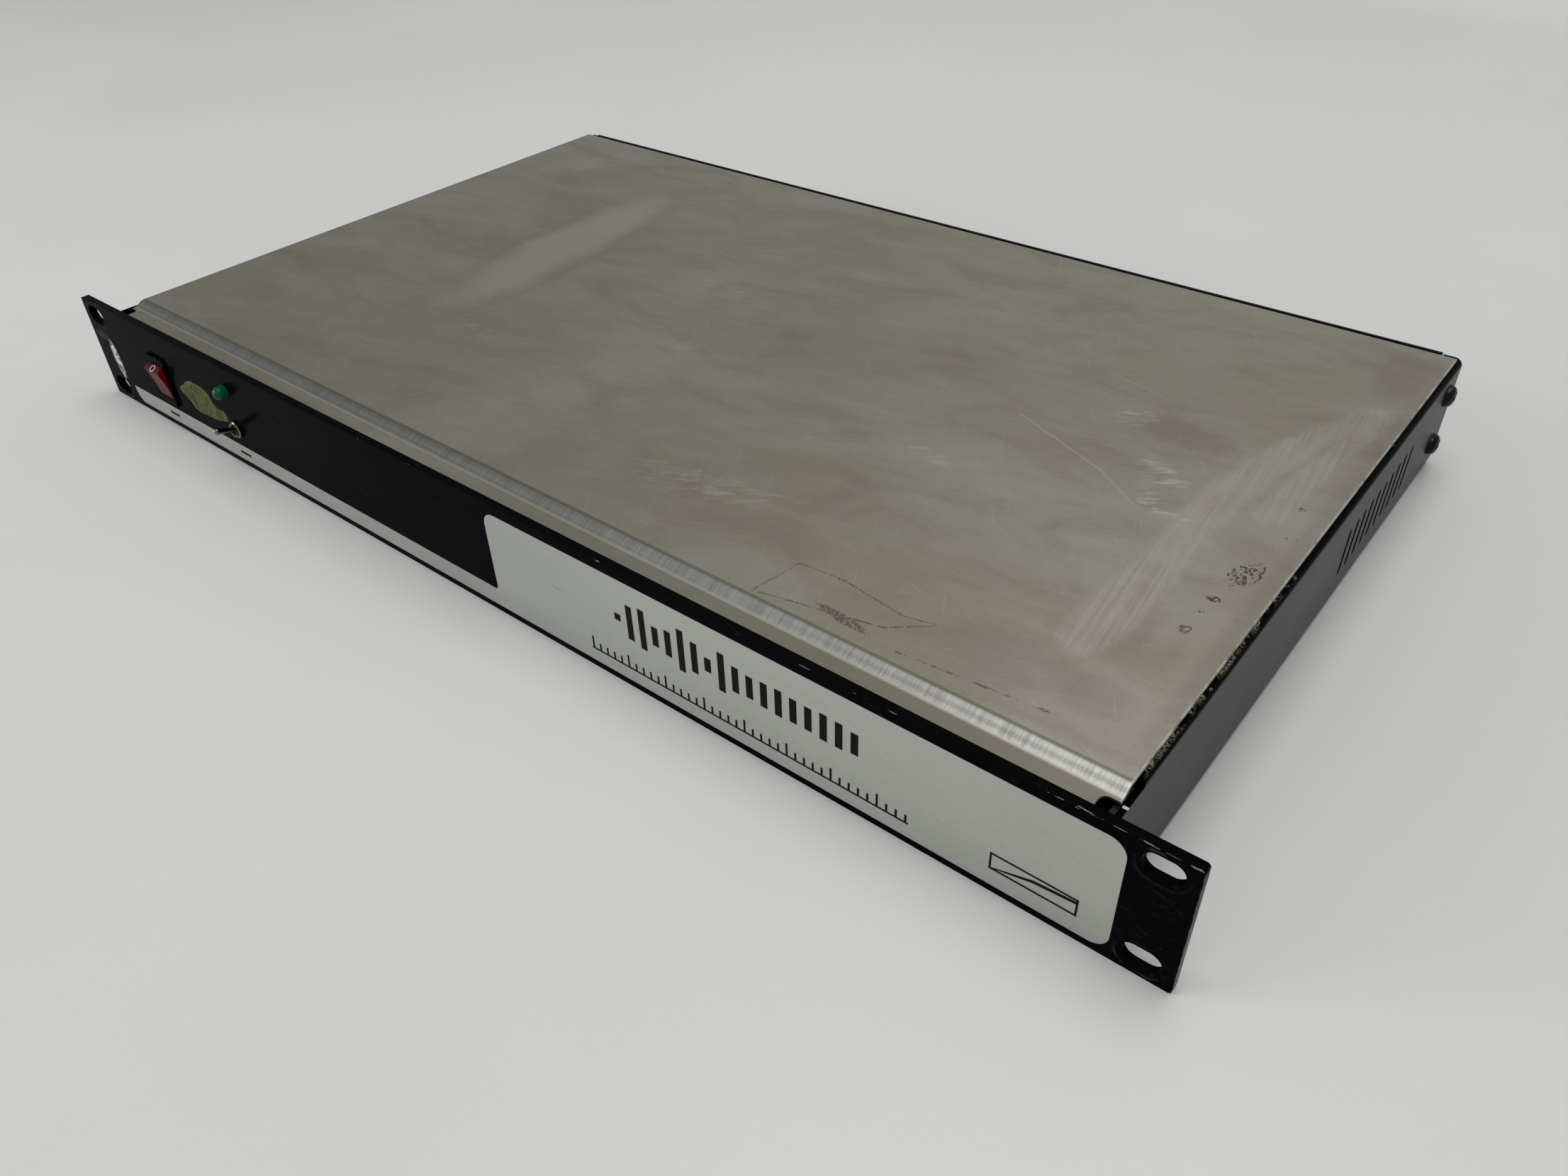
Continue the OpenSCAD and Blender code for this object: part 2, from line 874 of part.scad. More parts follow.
module fuse_holder() {
    color([0.03, 0.03, 0.032])
        at_base()
            translate([fuse_x, 0, port_z])
                difference() {
                    union() {
                        bar_y(back_out, back_out + 2, 7.4, 7.8);
                        bar_y(back_out - 34, back_out, fuse_body_r, fuse_body_r);
                    }
                    bar_y(back_out - 32, back_out + 3, fuse_bore_r, fuse_bore_r);
                }
}

// Cap and stem, drawn out rearwards with the fuse link in its end.
module fuse_cap() {
    y0 = back_out + 2.2;
    color([0.04, 0.04, 0.042])
        at_base()
            translate([fuse_x, 0, port_z])
                difference() {
                    union() {
                        bar_y(y0, y0 + 7, 6.4, 5.9);
                        bar_y(back_out - 8, y0 + eps, fuse_bore_r - 0.3, fuse_bore_r - 0.3);
                    }
                    bar_y(back_out - 9, back_out - 2, 2.6, 2.6);
                    translate([0, y0 + 7, 0])
                        cube([1.4, 2.4, 9], center = true);
                }
}

module fuse_link() {
    color([0.85, 0.85, 0.8])
        at_base()
            translate([fuse_x, 0, port_z])
                bar_y(back_out - 22, back_out - 2, 2.5, 2.5);
}

// Chassis connector body for an audio port: flange, barrel and round opening to the rear.
module port_shell(depth) {
    difference() {
        union() {
            slab_y(back_out, back_out + flange_t)
                round_rect(flange_w, flange_h, 3);
            bar_y(back_out - depth, back_out, barrel_r, barrel_r);
        }
        bar_y(back_out - depth + 3, back_out + flange_t + 1, socket_r, socket_r);
        for (s = [-1, 1])
            translate([s * port_screw[0], 0, s * port_screw[1]])
                bar_y(back_out - eps, back_out + flange_t + 1, 1.6, 1.6);
    }
}

module output_shells() {
    color([0.6, 0.6, 0.6])
        at_base()
            difference() {
                for (x = outputs_x)
                    translate([x, 0, port_z])
                        port_shell(20);
                output_pin_set();
            }
}

// Three round pins for each output.
module output_pin_set() {
    for (x = outputs_x, a = pin_angles)
        translate([x + pin_circle_r * cos(a), 0, port_z + pin_circle_r * sin(a)])
            bar_y(back_out - 25, back_out - 4, 1.2, 1.2);
}

module output_pins() {
    color([0.8, 0.76, 0.6])
        at_base()
            output_pin_set();
}

module input_shells() {
    color([0.6, 0.6, 0.6])
        at_base()
            for (x = inputs_x)
                translate([x, 0, port_z])
                    difference() {
                        port_shell(22);
                        translate([0, back_out, latch_z])
                            cube([8.6, 20, 4.2], center = true);
                    }
}

module input_cores() {
    color([0.05, 0.05, 0.05])
        at_base()
            for (x = inputs_x)
                translate([x, 0, port_z])
                    difference() {
                        bar_y(back_out - 19, back_out, plug_core_r, plug_core_r);
                        for (a = pin_angles)
                            translate([pin_circle_r * cos(a), 0, pin_circle_r * sin(a)])
                                bar_y(back_out - 15, back_out + eps, 1.35, 1.35);
                    }
}

// Push latch above an input's opening. It is pressed down towards the opening to free a plug.
module latch(x) {
    color([0.7, 0.7, 0.7])
        at_base()
            translate([x, 0, port_z]) {
                block(0, back_out + 0.4, latch_z + 0.1, [8, 7.2, 1.6]);
                block(0, back_out + 3.2, latch_z + 0.7 - latch_travel, [8, 1.6, 2.2]);
            }
}

module latch_left() {
    latch(inputs_x[0]);
}

module latch_right() {
    latch(inputs_x[1]);
}

module connector_screws() {
    color([0.65, 0.65, 0.66])
        at_base()
            for (x = concat(outputs_x, inputs_x), s = [-1, 1])
                translate([x + s * port_screw[0], back_out + flange_t, port_z + s * port_screw[1]])
                    face_rear() {
                        pan_head(2.5, 1.4);
                        translate([0, 0, -6])
                            cylinder(h = 6 + eps, r = 1.5);
                    }
}

module earth_stud() {
    color([0.75, 0.7, 0.55])
        at_base()
            translate([earth_x, 0, port_z])
                bar_y(back_in - 6, back_out + 9, earth_r, earth_r);
}

module earth_nuts() {
    color([0.75, 0.72, 0.62])
        at_base()
            for (y = [back_in - 3, back_out, back_out + 4])
                translate([earth_x, y, port_z])
                    face_rear()
                        hex_nut(7, 3, earth_r);
}

module main_board() {
    color([0.1, 0.3, 0.16])
        at_base()
            difference() {
                block(board_x, board_y + board_d / 2, board_z, [board_w, board_d, board_t]);
                at_pillars()
                    translate([0, 0, -1])
                        cylinder(h = pillar_h + 4, r = 1.6);
            }
}

// The six places where the main board is held.
module at_pillars() {
    for (sx = [-1, 0, 1], y = [board_y + 8, board_y + board_d - 8])
        translate([board_x + sx * pillar_x, y, floor_z])
            children();
}

module board_pillars() {
    color([0.75, 0.7, 0.5])
        at_base()
            at_pillars()
                difference() {
                    cylinder(h = pillar_h, r = 2.9, $fn = 6);
                    translate([0, 0, -eps])
                        cylinder(h = pillar_h + 1, r = 1.3);
                }
}

module board_screws() {
    color([0.7, 0.7, 0.72])
        at_base()
            at_pillars() {
                translate([0, 0, pillar_h + board_t])
                    pan_head(2.7, 1.7);
                translate([0, 0, pillar_h - 3])
                    cylinder(h = 3 + board_t + eps, r = 1.3);
            }
}

module card_sockets() {
    color([0.12, 0.12, 0.13])
        at_base()
            for (x = card_xs)
                difference() {
                    block(x, card_y0 + card_len / 2, board_top, [7, card_len + 6, 6]);
                    block(x, card_y0 + card_len / 2, board_top + 2, [card_t + 0.1, card_len + 0.4, 6]);
                }
}

module channel_card(x) {
    color([0.12, 0.32, 0.2])
        at_base()
            block(x, card_y0 + card_len / 2, board_top + 2, [card_t, card_len, card_h]);
}

module channel_card_left() {
    channel_card(card_xs[0]);
}

module channel_card_right() {
    channel_card(card_xs[1]);
}

// Dual in-line packages standing off each card's right side.
module card_chips() {
    color([0.06, 0.06, 0.065])
        at_base()
            for (x = card_xs, i = [0 : 4])
                block(x + card_t / 2 + 1.8, card_y0 + 14 + 22 * i, board_top + 11, [3.6, 19, 7]);
}

module board_chips() {
    color([0.06, 0.06, 0.065])
        at_base()
            for (x = [60, 80, 160, 180], i = [0 : 3])
                block(x, board_y + 40 + 34 * i, board_top, [7, 19, 4]);
}

module film_capacitors() {
    color([0.55, 0.12, 0.08])
        at_base()
            for (x = card_xs, i = [0 : 9])
                block(x - 10, card_y0 + 6 + 11.6 * i, board_top, [7.5, 4.5, 9]);
}

module small_capacitors() {
    color([0.08, 0.12, 0.3])
        at_base()
            for (x = [44, 98, 144, 198], i = [0 : 4])
                translate([x, board_y + 26 + 33 * i, board_top])
                    cylinder(h = 11, r = 3.2, $fn = 20);
}

module reservoir_capacitors() {
    color([0.09, 0.1, 0.14])
        at_base()
            for (i = [0 : 2])
                translate([-66, board_y + 34 + 32 * i, board_top])
                    cylinder(h = 26, r = 9);
}

module rectifier() {
    color([0.07, 0.07, 0.07])
        at_base()
            block(-66, board_y + 128, board_top, [19, 19, 8]);
}

module heat_sink() {
    color([0.1, 0.1, 0.11])
        at_base() {
            block(-34, board_y + 86, board_top, [3, 96, 25]);
            for (i = [0 : 9])
                block(-30, board_y + 43 + 9.6 * i, board_top, [6, 1.6, 25]);
        }
}

module regulators() {
    color([0.06, 0.06, 0.065])
        at_base()
            for (i = [0 : 2])
                block(-37.8, board_y + 54 + 32 * i, board_top + 6, [4.6, 10.2, 16]);
}

// Laminated core with a window on each side of the coil.
module transformer_core() {
    window = [core_size[0] / 6, core_size[1] * 0.66, core_size[2] + 2];
    color([0.2, 0.2, 0.21])
        at_base()
            difference() {
                block(core_x, core_y, core_z, core_size);
                for (sx = [-1, 1])
                    block(core_x + sx * core_size[0] / 4, core_y, core_z - 1, window);
            }
}

// The winding, where it fills the core's two windows.
module transformer_coil() {
    size = [core_size[0] / 6 - 0.4, core_size[1] * 0.64, core_size[2] - 1];
    color([0.75, 0.6, 0.25])
        at_base()
            for (sx = [-1, 1])
                block(core_x + sx * core_size[0] / 4, core_y, core_z + 0.5, size);
}

module transformer_bracket() {
    reach = core_size[0] + 22;
    strap_w = 30;
    strap_t = 1.5;
    side = [strap_t, strap_w, core_size[2] + 2];
    over = [core_size[0] + 2 * strap_t, strap_w, strap_t];
    color([0.6, 0.6, 0.62])
        at_base()
            difference() {
                union() {
                    block(core_x, core_y, floor_z, [reach, strap_w, 2]);
                    block(core_x, core_y, core_z + core_size[2], over);
                    for (sx = [-1, 1])
                        block(core_x + sx * (core_size[0] + strap_t) / 2, core_y, floor_z, side);
                }
                for (sx = [-1, 1])
                    translate([core_x + sx * (reach / 2 - 5), core_y, 0])
                        cylinder(h = 10, r = 2);
            }
}

// Insulated leads of the mains side, run along the tray.
module mains_harness() {
    color([0.35, 0.2, 0.12])
        at_base()
            for (i = [0 : 2])
                translate([-205 + 3 * i, 0, floor_z + 1.4])
                    bar_y(34, 232, 1.2, 1.2);
}

module signal_harness() {
    color([0.45, 0.45, 0.47])
        at_base()
            block(board_x - 110, board_y + board_d + 12, floor_z, [12, 40, 1.2]);
}

front_panel();
printed_field();
printed_marks();
rocker_housing();
rocker();
rocker_lamp();
rocker_tabs();
lamp_lens();
lamp_leads();
toggle_body();
toggle_bushing();
toggle_nut();
toggle_lever();
toggle_lugs();
sub_panel();
bottom_tray();
side_panel_left();
side_panel_right();
top_cover();
rear_panel();
side_screws();
bottom_screws();
panel_studs();
panel_nuts();
cover_clips();
mains_inlet();
inlet_pins();
inlet_screws();
fuse_holder();
fuse_cap();
fuse_link();
output_shells();
output_pins();
input_shells();
input_cores();
latch_left();
latch_right();
connector_screws();
earth_stud();
earth_nuts();
main_board();
board_pillars();
board_screws();
card_sockets();
channel_card_left();
channel_card_right();
card_chips();
board_chips();
film_capacitors();
small_capacitors();
reservoir_capacitors();
rectifier();
regulators();
heat_sink();
transformer_core();
transformer_coil();
transformer_bracket();
mains_harness();
signal_harness();
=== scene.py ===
"""Looks for the rack compressor: finishes, small surface pieces, camera, light and floor."""
import json
import math

import bmesh
import bpy
from mathutils import Matrix, Vector, noise


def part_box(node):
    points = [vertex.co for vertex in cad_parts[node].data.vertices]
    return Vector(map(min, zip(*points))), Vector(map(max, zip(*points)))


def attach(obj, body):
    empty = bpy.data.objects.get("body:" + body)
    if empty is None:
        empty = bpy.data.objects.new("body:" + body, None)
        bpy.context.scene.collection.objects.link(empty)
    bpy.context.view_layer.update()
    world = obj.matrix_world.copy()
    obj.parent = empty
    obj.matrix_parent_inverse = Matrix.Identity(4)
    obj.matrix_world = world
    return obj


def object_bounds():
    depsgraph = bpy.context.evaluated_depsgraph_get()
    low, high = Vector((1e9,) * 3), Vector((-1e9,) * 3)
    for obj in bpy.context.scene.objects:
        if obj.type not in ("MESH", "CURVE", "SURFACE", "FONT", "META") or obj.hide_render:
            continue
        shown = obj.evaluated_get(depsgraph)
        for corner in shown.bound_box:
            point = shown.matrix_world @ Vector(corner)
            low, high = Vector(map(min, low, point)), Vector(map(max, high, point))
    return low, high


MM = 0.001
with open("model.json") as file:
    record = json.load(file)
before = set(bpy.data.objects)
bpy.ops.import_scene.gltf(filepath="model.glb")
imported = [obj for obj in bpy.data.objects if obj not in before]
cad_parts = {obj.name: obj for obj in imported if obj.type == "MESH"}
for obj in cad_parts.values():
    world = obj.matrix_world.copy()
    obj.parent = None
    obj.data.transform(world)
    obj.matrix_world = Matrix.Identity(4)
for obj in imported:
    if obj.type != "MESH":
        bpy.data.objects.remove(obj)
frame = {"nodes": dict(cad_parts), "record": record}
nodes = frame["nodes"]
cad_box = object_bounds()


def box_mm(node):
    """The lowest and highest corners of a CAD node, in millimetres."""
    return [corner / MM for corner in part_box(node)]


panel_low, panel_high = box_mm("front_panel")
cover_high = box_mm("top_cover")[1]
side_high = box_mm("side_panel_right")[1]
slots = next(m for m in frame["record"]["mounts"] if m["name"] == "rack_slots")["dims"]
SLOT_X = slots["spacing_x_mm"] / 2
SLOT_Z = slots["spacing_y_mm"] / 2
SLOT_R = slots["hole_r_mm"]
SLOT_HALF = slots["slot_length_mm"] / 2 - SLOT_R
# The ramp near the cover's front edge, where its sheet steps down, starts and ends here along Y.
RAMP_FRONT = 6.6
RAMP_REAR = 12.0
# The rocker's drum, its axis, and how far above the front the off mark lies, in degrees about that axis.
ROCKER_R = 7.5
ROCKER_PIVOT_Y = -1.2
OFF_MARK_ANGLE = 54.5
# The outline of the glue on the panel's front face, as X and Z.
GLUE_OUTLINE = [(-176, 1.5), (-168, 6.3), (-163.5, 6.8), (-156, 6.2), (-153, 2.2), (-151, 0.6)]
GLUE_OUTLINE += [(-145.2, 0.0), (-145.0, -3.6), (-153, -5.8), (-160, -6.5), (-169, -6.4), (-171.6, -3.6)]
GLUE_OUTLINE += [(-177, -0.6)]
EDGE_RADII = {"front_panel": 0.35, "top_cover": 0.3, "side_panel_left": 0.25, "side_panel_right": 0.25,
              "rear_panel": 0.25, "rocker_housing": 0.25}
# Corners closer than WELD_GAP are one corner. Faces that meet at less than FLAT_ANGLE are one flat face,
# and at less than BEND_ANGLE one smooth bend. Edges sharper than EDGE_ANGLE are rounded. Angles are in degrees.
WELD_GAP = 0.01
FLAT_ANGLE = 0.5
BEND_ANGLE = 20
EDGE_ANGLE = 50


# ---------------------------------------------------------------- shader building blocks


def rgb(red, green, blue):
    """A linear colour from screen values of 0 to 255."""
    linear = [((c / 255 + 0.055) / 1.055) ** 2.4 if c > 10 else c / 3294 for c in (red, green, blue)]
    return (*linear, 1.0)


def shade(color, share):
    """The same colour, lighter or darker."""
    return (*(min(1.0, c * share) for c in color[:3]), 1.0)


class Field:
    """A number that varies over a surface, made by shader nodes. Lengths are in millimetres."""

    def __init__(self, surface, socket):
        self.surface = surface
        self.socket = socket

    def math(self, operation, *others):
        node = self.surface.add("ShaderNodeMath", operation=operation)
        for slot, value in zip(node.inputs, (self, *others)):
            self.surface.feed(slot, value)
        return Field(self.surface, node.outputs[0])

    def __add__(self, other):
        return self.math("ADD", other)

    def __sub__(self, other):
        return self.math("SUBTRACT", other)

    def __rsub__(self, other):
        return (self * -1).math("ADD", other)

    def __mul__(self, other):
        return self.math("MULTIPLY", other)

    def __truediv__(self, other):
        return self.math("DIVIDE", other)

    def __abs__(self):
        return self.math("ABSOLUTE")

    __radd__ = __add__

    def least(self, other):
        return self.math("MINIMUM", other)

    def most(self, other):
        return self.math("MAXIMUM", other)

    def root(self):
        return self.math("SQRT")

    def step(self, low, high, start=0.0, end=1.0):
        """start up to low, end beyond high, with a smooth change between them."""
        node = self.surface.add("ShaderNodeMapRange", interpolation_type="SMOOTHSTEP")
        for slot, value in zip(node.inputs, (self, low, high, start, end)):
            self.surface.feed(slot, value)
        return Field(self.surface, node.outputs[0])

    def within(self, low, high, soft):
        """1 between low and high, 0 outside, with soft ends."""
        return self.step(low - soft, low + soft) * self.step(high - soft, high + soft, 1.0, 0.0)


class Surface:
    """A material with one principled shader, and its patterns in the part's own millimetres."""

    def __init__(self, name, color, roughness, metallic=0.0, **values):
        self.material = bpy.data.materials.new(name)
        self.material.use_nodes = True
        self.material.diffuse_color = color
        self.tree = self.material.node_tree
        self.shader = self.tree.nodes["Principled BSDF"]
        self.set(base_color=color, roughness=roughness, metallic=metallic, **values)
        place = self.add("ShaderNodeVectorMath", operation="SCALE")
        self.tree.links.new(self.add("ShaderNodeTexCoord").outputs["Object"], place.inputs[0])
        place.inputs["Scale"].default_value = 1 / MM
        self.place = place.outputs[0]
        split = self.add("ShaderNodeSeparateXYZ")
        self.tree.links.new(self.place, split.inputs[0])
        self.x, self.y, self.z = (Field(self, output) for output in split.outputs)

    def facing(self):
        """The x, y and z of the direction that the surface faces."""
        split = self.add("ShaderNodeSeparateXYZ")
        self.tree.links.new(self.add("ShaderNodeTexCoord").outputs["Normal"], split.inputs[0])
        return [Field(self, output) for output in split.outputs]

    def add(self, kind, **settings):
        node = self.tree.nodes.new(kind)
        for key, value in settings.items():
            setattr(node, key, value)
        return node

    def feed(self, slot, value):
        """Puts a field, a shader output, or a plain number or colour into a node's input."""
        if isinstance(value, Field):
            value = value.socket
        if isinstance(value, bpy.types.NodeSocket):
            self.tree.links.new(value, slot)
        else:
            slot.default_value = value

    def set(self, **values):
        """Sets the shader's sockets by name: a plain value, or a field or colour made by nodes."""
        for key, value in values.items():
            self.feed(self.shader.inputs[key.replace("_", " ").title().replace("Ior", "IOR")], value)

    def mapped(self, turn, scale, seed=0.0):
        """The place turned about Z by degrees, scaled and shifted."""
        spin = self.add("ShaderNodeMapping")
        self.feed(spin.inputs["Vector"], self.place)
        self.feed(spin.inputs["Rotation"], (0, 0, math.radians(turn)))
        squeeze = self.add("ShaderNodeMapping")
        self.feed(squeeze.inputs["Vector"], spin.outputs[0])
        self.feed(squeeze.inputs["Scale"], scale)
        self.feed(squeeze.inputs["Location"], (seed * 3.7, seed * 1.3, seed * 2.1))
        return squeeze.outputs[0]

    def noise(self, size, detail=3.0, roughness=0.5, stretch=(1, 1, 1), warp=0.0, seed=0.0, turn=0.0):
        """Soft noise from 0 to 1 with features about size long, drawn out along each axis by stretch."""
        node = self.add("ShaderNodeTexNoise")
        self.feed(node.inputs["Vector"], self.mapped(turn, [1 / (size * s) for s in stretch], seed))
        values = {"Scale": 1.0, "Detail": detail, "Roughness": roughness, "Distortion": warp}
        for key, value in values.items():
            self.feed(node.inputs[key], value)
        return Field(self, node.outputs[0])

    def scratches(self, width, length, turn, seed=0.0, cover=0.66):
        """Fine broken strokes at an angle across X and Y: 1 on a stroke and 0 between the strokes."""
        strokes = self.noise(width * 4, 1, 0.5, stretch=(length / (width * 4), 1, 1), seed=seed, turn=turn)
        return strokes.step(cover, cover + 0.04) * self.noise(length * 0.7, 2, seed=seed + 5).step(0.45, 0.6)

    def mix(self, amount, under, over):
        """The colour under, with the colour over laid on it by amount."""
        node = self.add("ShaderNodeMix", data_type="RGBA", clamp_factor=True)
        for slot, value in zip((node.inputs[0], node.inputs[6], node.inputs[7]), (amount, under, over)):
            self.feed(slot, value)
        return node.outputs[2]

    def spot(self, centre, radii, wobble=0.0, size=3.0, soft=0.35, turn=0.0):
        """1 inside an ellipse about centre, 0 outside. A None in centre leaves that axis out."""
        axes = [self.x, self.y, self.z]
        offsets = [None if c is None else axis - c for axis, c in zip(axes, centre)]
        if turn:
            cos, sin = math.cos(math.radians(turn)), math.sin(math.radians(turn))
            u, v = (i for i, o in enumerate(offsets) if o is not None)
            a, b = offsets[u], offsets[v]
            offsets[u], offsets[v] = a * cos + b * sin, b * cos - a * sin
        total = None
        for offset, r in zip(offsets, radii):
            if offset is None:
                continue
            part = offset / r
            total = part * part if total is None else total + part * part
        if wobble:
            total = total + (self.noise(size, 4, 0.6, seed=sum(c or 0 for c in centre) * 0.1) - 0.5) * wobble
        return total.step(1 - soft, 1 + soft, 1.0, 0.0)

    def line(self, start, end, width, wobble=0.0, size=4.0):
        """1 on a stroke across X and Y from start to end, 0 away from it."""
        dx, dy = end[0] - start[0], end[1] - start[1]
        length = math.hypot(dx, dy)
        ax, ay = self.x - start[0], self.y - start[1]
        along = (ax * (dx / length) + ay * (dy / length)).most(0).least(length)
        gap_x, gap_y = ax - along * (dx / length), ay - along * (dy / length)
        gap = (gap_x * gap_x + gap_y * gap_y).root()
        if wobble:
            gap = gap + (self.noise(size, 3, 0.6, seed=start[0] * 0.1) - 0.5) * wobble
        return gap.step(width * 0.5, width, 1.0, 0.0)

    def bump(self, height, depth):
        """Relief from a height of 0 to 1 that stands depth millimetres tall."""
        node = self.add("ShaderNodeBump")
        self.feed(node.inputs["Distance"], depth * MM)
        self.feed(node.inputs["Height"], height)
        self.set(normal=node.outputs[0])


def most_of(fields):
    """The greatest of several fields."""
    total = fields[0]
    for field in fields[1:]:
        total = total.most(field)
    return total


# ---------------------------------------------------------------- finishes of the case

BLACK_PAINT = rgb(6, 6, 8)
DUST = rgb(120, 120, 114)


def painted(name, color, roughness, shine):
    """Sprayed satin paint: fine orange peel, uneven gloss, dust and light scuffs.

    Returns the surface and its colour, roughness and relief, for a finish to add its own wear to.
    """
    s = Surface(name, color, roughness, specular_ior_level=shine)
    peel = s.noise(0.9, 2, 0.6)
    cloud = s.noise(40, 4, 0.6)
    dust = s.noise(0.8, 1, seed=4).step(0.72, 0.78) * s.noise(26, 2, seed=2).step(0.5, 0.7)
    scuff = s.scratches(0.25, 22, 12, seed=3) + s.scratches(0.2, 14, 78, seed=8)
    tone = s.mix(cloud.step(0.3, 0.7), color, shade(color, 1.5))
    tone = s.mix(dust * 0.07 + scuff * 0.03, tone, DUST)
    gloss = roughness - 0.05 + cloud * 0.1 + peel * 0.02 + scuff * 0.05
    return s, tone, gloss, peel * 0.6 + scuff * 0.3 + dust * 0.4


def front_paint():
    """Black panel paint: worn along its upper edge, rubbed round the rack slots, with a painted highlight on
    the lower arc round each slot, and smeared at the left.
    """
    s, tone, gloss, relief = painted("panel_paint", BLACK_PAINT, 0.16, 0.0065)
    edge = (panel_high.z - s.z).most(s.y - panel_low.y)
    chips = [(60, 1.2, 0.3), (135, 1.6, 0.25), (152, 2.6, 0.3), (162, 1.2, 0.25), (213, 2.2, 0.3)]
    chips += [(240, 1.8, 0.6), (-40, 1.0, 0.25), (-52, 1.4, 0.22), (-26, 0.8, 0.2), (-232, 3.4, 0.2)]
    width = most_of([s.spot((x, None, None), (half, 1, 1), soft=0.8) * depth for x, half, depth in chips])
    width = width + s.spot((219, None, None), (16, 1, 1), soft=0.3) * 0.22
    ragged = s.noise(0.7, 4, 0.7, stretch=(6, 1, 1))
    worn = (width * (ragged.step(0.44, 0.62) * 1.2) - edge).step(0, 0.06)
    side = (panel_high.x - s.x).least(s.x - panel_low.x)
    side_wear = side.step(0.0, 0.3, 1.0, 0.0) * s.noise(3, 4, 0.7, seed=6).step(0.42, 0.6)
    across = (abs(abs(s.x) - SLOT_X) - SLOT_HALF).most(0)
    upright = abs(s.z) - SLOT_Z
    from_slot = (across * across + upright * upright).root() - SLOT_R
    front = s.y.step(panel_low.y, panel_low.y + 0.05, 1.0, 0.0)
    # Painted highlight: the pale ring round each rack slot is a washer wear ring, made stronger on its lower
    # arc as light on a dished rim.
    below = upright.step(-1.0, 3.0, 0.35, 1.0)
    ring = from_slot.within(1.1, 1.7, 0.35) * s.noise(5, 3, 0.6, seed=9).step(0.4, 0.65) * front * below
    blotch = s.noise(2.6, 4, 0.7, warp=0.8, seed=2).step(0.4, 0.56, 0.12, 1.0)
    smear = s.spot((-SLOT_X + 4.2, None, -2.8), (2.5, 1, 8.4), wobble=1.8, size=4, soft=0.5, turn=4) * front
    smear = smear * blotch
    rubs = s.spot((-SLOT_X - 1.5, None, 7.0), (5.0, 1, 2.0), wobble=2.2, size=3, soft=0.7) * front
    # The slot ring: wear, with its painted highlight on the lower arc.
    tone = s.mix(ring * 0.3, tone, rgb(92, 88, 78))
    tone = s.mix(side_wear * 0.55, tone, rgb(104, 92, 78))
    tone = s.mix(smear, tone, rgb(206, 200, 198))
    tone = s.mix(worn * 0.8 + rubs * 0.12, tone, rgb(126, 128, 116))
    s.set(base_color=tone, metallic=worn * 0.5)
    s.set(roughness=gloss.most(smear * 0.7).most(worn * 0.45))
    s.bump(relief - worn * 2 + smear * 0.5, 0.01)
    return s.material


def side_paint():
    """The same black paint on the side panels, chipped to primer and metal along the upper bend, and painted
    near black as shade on its slot walls, inner faces and upper bend.
    """
    s, tone, gloss, relief = painted("side_paint", rgb(16, 17, 18), 0.36, 0.18)
    top = side_high.z - s.z
    inset = abs(abs(s.x) - side_high.x)
    # Painted shade: only the outer face below the upper bend keeps the paint's tone; the vent slot walls, inner
    # faces, upper bend and flange are painted near black, with little shine.
    unshaded_flank = inset.step(0.05, 0.2, 1.0, 0.0) * top.step(1.8, 3.4)
    near_top = top.step(0.2, 1.5, 1.0, 0.0)
    dense = s.y.within(13, 62, 6) + s.y.within(58, 112, 8) * 0.5 + s.y.within(190, 196, 2) * 0.5
    clump = s.noise(4, 3, 0.6, seed=7)
    crinkle = abs(s.noise(1.3, 4, 0.7, warp=1.2, seed=8) - 0.5)
    chips = crinkle.step(0.012, 0.03, 1.0, 0.0) * (clump + dense * 0.1).step(0.54, 0.6)
    chips = chips * near_top * dense.step(0.1, 0.4)
    gold = s.noise(2.4, 2, seed=3).step(0.42, 0.58)
    chip_color = s.mix(gold, rgb(196, 197, 192), rgb(150, 120, 58))
    bare = s.spot((None, 7, side_high.z - 3.0), (1, 0.45, 0.5), wobble=1.2, size=0.8, soft=0.2)
    scratch = s.spot((None, 34, side_high.z - 14), (1, 17, 0.16), wobble=0.6, size=3, soft=0.3, turn=-7)
    metal = chips.most(bare)
    # Painted shade: near black away from the outer face.
    tone = s.mix(unshaded_flank, rgb(4, 4, 5), tone)
    tone = s.mix(scratch * 0.7, tone, rgb(4, 4, 5))
    s.set(base_color=s.mix(metal, tone, chip_color), metallic=metal * 0.6, roughness=gloss + metal * 0.1)
    # The painted shade also loses most of its shine.
    s.set(specular_ior_level=unshaded_flank * 0.17 + 0.01)
    s.bump(relief - metal * 2 - scratch, 0.014)
    return s.material


def rear_paint():
    """Black paint on the rear panel, scuffed around its connectors."""
    s, tone, gloss, relief = painted("rear_paint", rgb(11, 12, 14), 0.45, 0.06)
    rub = s.scratches(0.4, 12, 30, seed=14, cover=0.62)
    s.set(base_color=s.mix(rub * 0.04, tone, DUST), roughness=gloss)
    s.bump(relief + rub * 0.2, 0.012)
    return s.material


